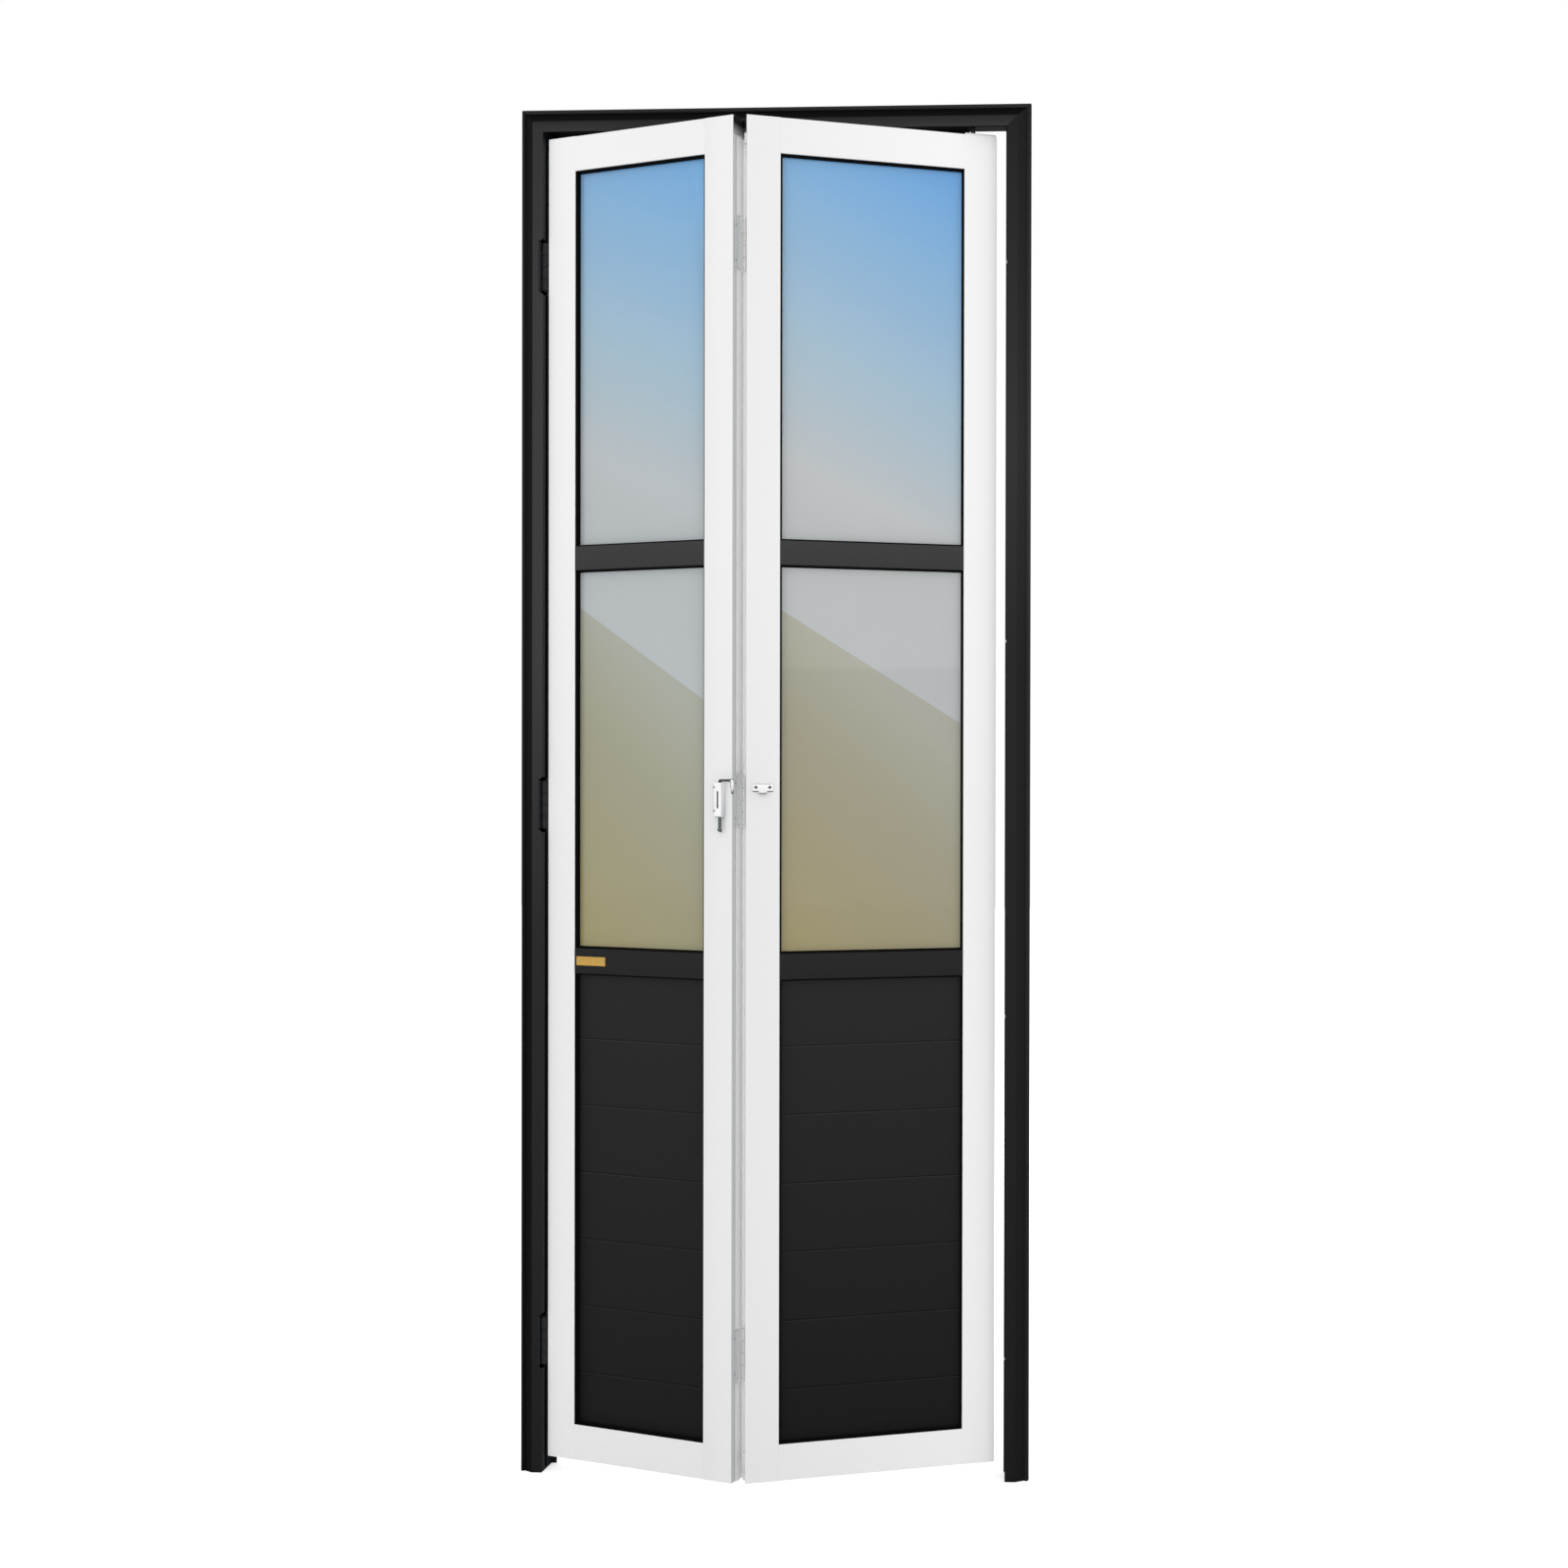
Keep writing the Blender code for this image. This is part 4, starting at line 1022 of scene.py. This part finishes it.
def brushed(name, tone, roughness):
    """Metal brushed along X."""
    finish, tree, shader = new_finish(name, roughness, 1.0)
    lines = grain(tree, 900, 4, (0.05, 1, 1))
    dull = tuple(0.8 * level for level in tone)
    paint(tree, shader, scale_of_shades(tree, lines, ((0.3, dull), (0.7, tone))))
    bump(tree, shader, lines, 0.00002, 0.5)
    return finish


def plated(name):
    """Plated steel with painted light: the stem and arm lit from above and shaded below, the finger
    that slides with a painted highlight on its front, darker at its edges and tip.
    """
    finish, tree, shader = new_finish(name, 0.24, 1.0)
    dull = scale_of_shades(tree, facing(tree, UP), tones(STEM_LIT_FROM_ABOVE))
    finger_glint = scale_of_shades(tree, facing(tree, (0.35, -0.94, 0)), tones(FINGER_LIT_FROM_FRONT))
    rise = along(tree, UP, FINGER_TIP, FINGER_TIP + TIP_LENGTH)
    finger_glint = mixed(tree, "MULTIPLY", 1.0, finger_glint, scale_of_shades(tree, rise, shares(*TIP_SHADE)))
    turn = ARM_SWING + FOLD
    out = Vector((math.cos(turn), -math.sin(turn), 0))
    stem = (ON_LEAF_1 @ Vector((LATCH_MIDDLE, ROD_LINE, 0))).dot(out)
    arm_end = stem + ARM_LENGTH - 0.0030
    reach = along(tree, out, arm_end - 0.0040, arm_end)
    grime = scale_of_shades(tree, grain(tree, 700, 3), shares((0.3, 0.88), (0.7, 1)))
    paint(tree, shader, mixed(tree, "MIX", reach, dull, finger_glint), grime)
    bump(tree, shader, grain(tree, 900, 3), 0.00001, 0.4)
    return finish


def white_with_painted_shade(name, direction, stops):
    """A gloss white with painted shade, darker on the sides that face away from a direction."""
    finish, tree, shader = new_finish(name, 0.22)
    painted_shade = scale_of_shades(tree, facing(tree, Vector(direction).normalized()), tones(stops))
    mottle = scale_of_shades(tree, grain(tree, 30, 2), shares((0.3, 0.97), (0.7, 1)))
    paint(tree, shader, painted_shade, mottle)
    bump(tree, shader, grain(tree, 300, 2), 0.00001, 0.3)
    return finish


def pin_finish():
    """White where the flange lies on the leaf, black above."""
    finish, tree, shader = new_finish("guide_pin_finish", 0.4)
    share = along(tree, UP, LEAF_TOP + 0.0022, LEAF_TOP + 0.0026)
    paint(tree, shader, scale_of_shades(tree, share, tones(((0, 226), (1, 18)))))
    bump(tree, shader, grain(tree, 500), 0.00002)
    return finish


def plug_finish():
    """Black at its head, paling to the nose's grey at its foot, as painted shade under the head."""
    finish, tree, shader = new_finish("fold_plug_finish", 0.6, specular=0.1)
    share = along(tree, UP, LEAF_TOP - 0.030, LEAF_TOP)
    stops = tones(((0.0, 170), (0.3, 110), (0.62, 5), (1, 4)))
    paint(tree, shader, scale_of_shades(tree, share, stops))
    bump(tree, shader, grain(tree, 700), 0.00003)
    return finish


def softbox(name, place, aim, size, power):
    """A square lamp that faces a place."""
    lamp = bpy.data.lights.new(name, "AREA")
    lamp.size = size
    lamp.energy = power
    holder = bpy.data.objects.new(name, lamp)
    bpy.context.scene.collection.objects.link(holder)
    holder.location = place
    holder.visible_glossy = False
    holder.rotation_euler = (Vector(aim) - Vector(place)).to_track_quat("-Z", "Y").to_euler()


# The finishes in use. The trims and the track have one each, the other nodes one by their slot.

own_finishes = {
    "trim_left": frame_coat(
        "trim_left_black", LEFT_HEIGHTS, (1, 0, 0), TRIM_OUTER_LEFT, LEFT_BANDS
    ),
    "trim_right": frame_coat(
        "trim_right_black", RIGHT_HEIGHTS, (-1, 0, 0), -TRIM_OUTER_RIGHT, RIGHT_BANDS
    ),
    "trim_head": frame_coat("trim_head_black", HEAD_HEIGHTS, DOWN, -TRIM_TOP, HEAD_BANDS),
    # The track's darker black paints the shade under the head.
    "head_track": powder_coat(
        "track_black", shade(12, 14, 16), shade(14, 16, 18), 0, TRIM_TOP, 0.5, 0.04, 0.3, 0.00004
    ),
}
jamb_blue_black = powder_coat(
    "jamb_blue_black", shade(22, 28, 33), shade(26, 33, 38), 0, TRIM_TOP, 0.5, 0.10, 0.3, 0.00004
)
# The leaves' white paints the light's fall across them: a little lighter toward the head, and
# darker toward the fold, most on leaf 2.
leaf_whites = {
    "leaf_1": leaf_coat("leaf_1_white", (0.03, 0.35), (232, 229), (236, 232)),
    "leaf_2": leaf_coat("leaf_2_white", (0.38, 0.72), (225, 236), (226, 237)),
}
_, slats_top = OPENINGS["slat_panel"]
lower_foot, lower_top = OPENINGS["lower_pane"]
upper_foot, _ = OPENINGS["upper_pane"]
# The rails and slats are one charcoal painted with light and shade: the upper rail lighter than the
# lower, the slats lighter toward the top.
upper_rail = powder_coat(
    "upper_rail_charcoal", shade(54), shade(58), lower_top, upper_foot, 0.55, 0.12, 0.1, 0.00002
)
lower_rail = powder_coat(
    "lower_rail_charcoal", shade(30), shade(33), slats_top, lower_foot, 0.55, 0.12, 0.1, 0.00002
)
slat_tones = (shade(18), shade(35), SLATS_LOW, SLATS_HIGH)
slat_coat = powder_coat("slat_charcoal", *slat_tones, 0.6, 0.12, 0.12, 0.00003, SLAT_EDGES)
hinge_grey = fold_edge_coat("fold_hinge_grey", HINGE_GREYS, 0.35)
nose_grey = fold_edge_coat("fold_edge_grey", NOSE_GREYS)
hinge_black = painted("hinge_black", shade(28, 30, 33), 0.45, scale=500, specular=0.2)
latch_white = white_with_painted_shade("latch_white", (-0.3, -0.5, 0.8), LATCH_WHITES)
keeper_white = white_with_painted_shade("keeper_white", UP, KEEPER_WHITES)
polished_steel = plated("polished_steel")
zinc = painted("zinc", shade(205, 208, 210), 0.25, 1.0, 700, 0.00001)
dark_screw = painted("dark_screw", shade(96, 100, 112), 0.35, 0.3, 700, 0.00001)
pale_screw = painted("pale_screw", shade(158, 160, 164), 0.35, 0.3, 700, 0.00001)
rubber = painted("rubber", shade(7), 0.7, scale=900, depth=0.00003, specular=0.08)
washer_black = painted("washer_black", shade(6), 0.6, scale=900, specular=0.1)
washer_grey = painted("washer_grey", shade(190), 0.5, scale=900)
buffer_grey = painted("buffer_grey", shade(206), 0.45, scale=500)
nylon = painted("nylon", shade(214), 0.5, scale=500)
brass = brushed("brass", shade(214, 172, 92), 0.34)

put_down()
bpy.ops.object.select_all(action="SELECT")
bpy.ops.object.delete()
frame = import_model()

# The panes' painted reflections; leaf 1's is lifted with painted light.
panes = {
    "leaf_1": pane_with_painted_reflection("leaf_1_glass", 0.4676, 0.4, 0.085, 1.3525, -0.676, (1.04, 1.08, 1.09)),
    "leaf_2": pane_with_painted_reflection("leaf_2_glass", 0.6839, 0.5, 0.4183, 1.344, -0.651, (1.0, 1.0, 1.0)),
}
slot_finishes = {
    "frame_black": jamb_blue_black,
    "hinge_black": hinge_black,
    "hinge_white": hinge_grey,
    "rail_charcoal": lower_rail,
    "slat_charcoal": slat_coat,
    "latch_white": latch_white,
    "latch_steel": polished_steel,
    "guide_black": pin_finish(),
    "nylon": nylon,
}
leaf_finishes = {"glass": panes, "leaf_white": leaf_whites}
for name, node in frame["nodes"].items():
    for slot in node.material_slots:
        kind = slot.material.name.split(".")[0]
        if name in own_finishes:
            slot.material = own_finishes[name]
        elif "upper_mid_rail" in name:
            slot.material = upper_rail
        elif kind in leaf_finishes:
            slot.material = leaf_finishes[kind][name[:6]]
        else:
            slot.material = slot_finishes[kind]

for label in JAMB_HINGES:
    for part in ("frame_half", "leaf_half", "pin"):
        smooth_copy(f"jamb_hinge_{label}_{part}")
    for part in ("leaf_1_half", "leaf_2_half", "pin"):
        smooth_copy(f"fold_hinge_{label}_{part}")
for node in ("guide_pin", "guide_roller", "latch_collar"):
    smooth_copy(node)
fold_edge(smooth_copy("leaf_1_right_stile"), nose_grey)

for body, edges in LEAVES.items():
    corner_sealant(body, leaf_whites[body])
    for opening, (low, high) in OPENINGS.items():
        glazing_gasket(f"{body}_{opening}_gasket", edges, low, high, rubber, body)

jamb_rings = (JAMB_AXIS[:2], JAMB_HINGES, JAMB_HINGE_HEIGHT, JAMB_WASHER_RADIUS)
hinge_washers("jamb_hinge", *jamb_rings, washer_black, "frame")
fold_rings = (FOLD_LINE, FOLD_HINGES, FOLD_HINGE_HEIGHT, FOLD_WASHER_RADIUS)
hinge_washers("fold_hinge", *fold_rings, washer_grey, "leaf_1")
for label, middle in JAMB_HINGES.items():
    hinge_rebate(label, middle, hinge_black)

screw_line, screw_rise = 0.0068, 0.0265
near_screws, far_screws = [], []
for label, middle in FOLD_HINGES.items():
    nose_knuckles(label, middle, hinge_grey)
    end_bushings(label, middle, hinge_grey)
    for z in (middle - screw_rise, middle + screw_rise):
        near_screws.append((LEAF_1[1] + 0.0012, LEAF_1[2] + screw_line, z))
        far_screws.append((LEAF_2[0] - 0.0012, LEAF_2[2] + screw_line, z))
screws("fold_hinge_screws", near_screws, (1, 0, 0), HINGE_SCREW, pale_screw, "leaf_1")
screws("fold_hinge_far_screws", far_screws, (-1, 0, 0), HINGE_SCREW, pale_screw, "leaf_2")
fold_plug(plug_finish())
fold_buffers(buffer_grey)

latch_case(latch_white)
hook(polished_steel)
flange_screws = [(LATCH_LEFT + 0.0025, LATCH_BACK - LATCH_FLANGE, z) for z in LATCH_SCREWS]
screws("latch_screws", flange_screws, (0, -1, 0), LATCH_SCREW, pale_screw, "leaf_1")
keeper(keeper_white)
keeper_screws = [
    (KEEPER_MIDDLE + side * 0.0103, KEEPER_BACK - KEEPER_PLATE, KEEPER_FOOT + 0.0069)
    for side in (-1, 1)
]
screws("keeper_screws", keeper_screws, (0, -1, 0), KEEPER_SCREW, dark_screw, "leaf_2")
brass_plate(brass, zinc)

# The jambs' strips lie against the leaves' faces, the hinge side's between the hinges. The black of
# the hinge jamb's strips also stands in for the shade in the narrow gap beside leaf 1.
strip_front, strip_back, strip_foot, strip_head = -0.0005, 0.0130, 0.004, 2.092
gaps = ((strip_foot, 0.163), (0.247, 1.003), (1.087, 1.843), (1.927, strip_head))
for number, (low, high) in enumerate(gaps, 1):
    seal_strip(
        f"hinge_jamb_seal_{number}",
        (INNER_LEFT - 0.0002, strip_front, low),
        (INNER_LEFT + 0.0018, strip_back, high),
        rubber,
        "frame",
    )
seal_strip(
    "lock_jamb_seal",
    (INNER_RIGHT - 0.0022, strip_front, strip_foot),
    (INNER_RIGHT + 0.0002, strip_back, strip_head),
    rubber,
    "frame",
)
seal_strip(
    "head_seal",
    (INNER_LEFT + 0.0005, 0.0236, LEAF_TOP + 0.0055),
    (INNER_RIGHT - 0.064, 0.0276, LEAF_TOP + 0.0162),
    rubber,
    "frame",
)
seal_strip(
    "leaf_1_top_seal",
    (LEAF_1[0] + 0.004, LEAF_1[3] - 0.0075, LEAF_TOP - 0.0004),
    (LEAF_1[1] - 0.030, LEAF_1[3] - 0.0035, LEAF_TOP + 0.0085),
    rubber,
    "leaf_1",
)
jamb_screws = [(INNER_RIGHT, FRAME_FRONT + 0.0042, z) for z in (0.19, 0.72, 1.30, 1.885)]
screws("lock_jamb_screws", jamb_screws, (-1, 0, 0), JAMB_SCREW, zinc, "frame")
corner_key("mitre_key_left", 0.0, rubber)
corner_key("mitre_key_right", 0.780, rubber)

# The floor, which glows less under the door than away from it, the lights and the camera.

DOOR_MIDDLE = 0.39
put_down()
bpy.ops.mesh.primitive_plane_add(size=24, location=(DOOR_MIDDLE, 0, 0))
floor = bpy.context.object
floor.name = "studio_floor"
set_scale()
floor_white, tree, shader = new_finish("floor_white", 0.9)
shader.inputs["Base Color"].default_value = (0.8, 0.8, 0.8, 1)
shader.inputs["Emission Color"].default_value = (1, 1, 1, 1)
path = tree.nodes.new("ShaderNodeLightPath")
reach = tree.nodes.new("ShaderNodeVectorMath")
reach.operation = "DISTANCE"
reach.inputs[1].default_value = (DOOR_MIDDLE, 0, 0)
tree.links.new(place_on_piece(tree), reach.inputs[0])
glow = tree.nodes.new("ShaderNodeMapRange")
for limit, value in (("From Min", 0.3), ("From Max", 1.5), ("To Min", 0.45), ("To Max", 1.0)):
    glow.inputs[limit].default_value = value
tree.links.new(reach.outputs["Value"], glow.inputs["Value"])
shown = tree.nodes.new("ShaderNodeMath")
shown.operation = "MULTIPLY"
tree.links.new(path.outputs["Is Camera Ray"], shown.inputs[0])
tree.links.new(glow.outputs["Result"], shown.inputs[1])
tree.links.new(shown.outputs["Value"], shader.inputs["Emission Strength"])
floor.data.materials.append(floor_white)

world = bpy.data.worlds.new("studio")
bpy.context.scene.world = world
world.use_nodes = True
world.node_tree.nodes["Background"].inputs["Color"].default_value = (1, 1, 1, 1)

softbox("key_light", (-0.9, -4.4, 2.0), (DOOR_MIDDLE, 0, 1.0), 2.4, 22)
softbox("fill_light", (3.8, -2.8, 1.5), (DOOR_MIDDLE, 0, 0.9), 2.2, 24)
softbox("back_light", (0.4, 3.6, 2.6), (DOOR_MIDDLE, 0, 1.1), 2.4, 20)

camera_data = bpy.data.cameras.new("camera")
camera_data.sensor_width = SENSOR
camera_data.lens = LENS
camera_data.shift_x = CAMERA_SHIFT
camera = bpy.data.objects.new("camera", camera_data)
bpy.context.scene.collection.objects.link(camera)
turn = Matrix.Rotation(CAMERA_YAW, 4, "Z") @ Matrix.Rotation(CAMERA_PITCH, 4, "X")
turn = turn @ Matrix.Rotation(CAMERA_ROLL, 4, "Y") @ Matrix.Rotation(math.radians(90), 4, "X")
camera.matrix_world = Matrix.Translation(CAMERA_PLACE) @ turn
bpy.context.scene.camera = camera
bpy.context.scene.view_settings.view_transform = "Standard"
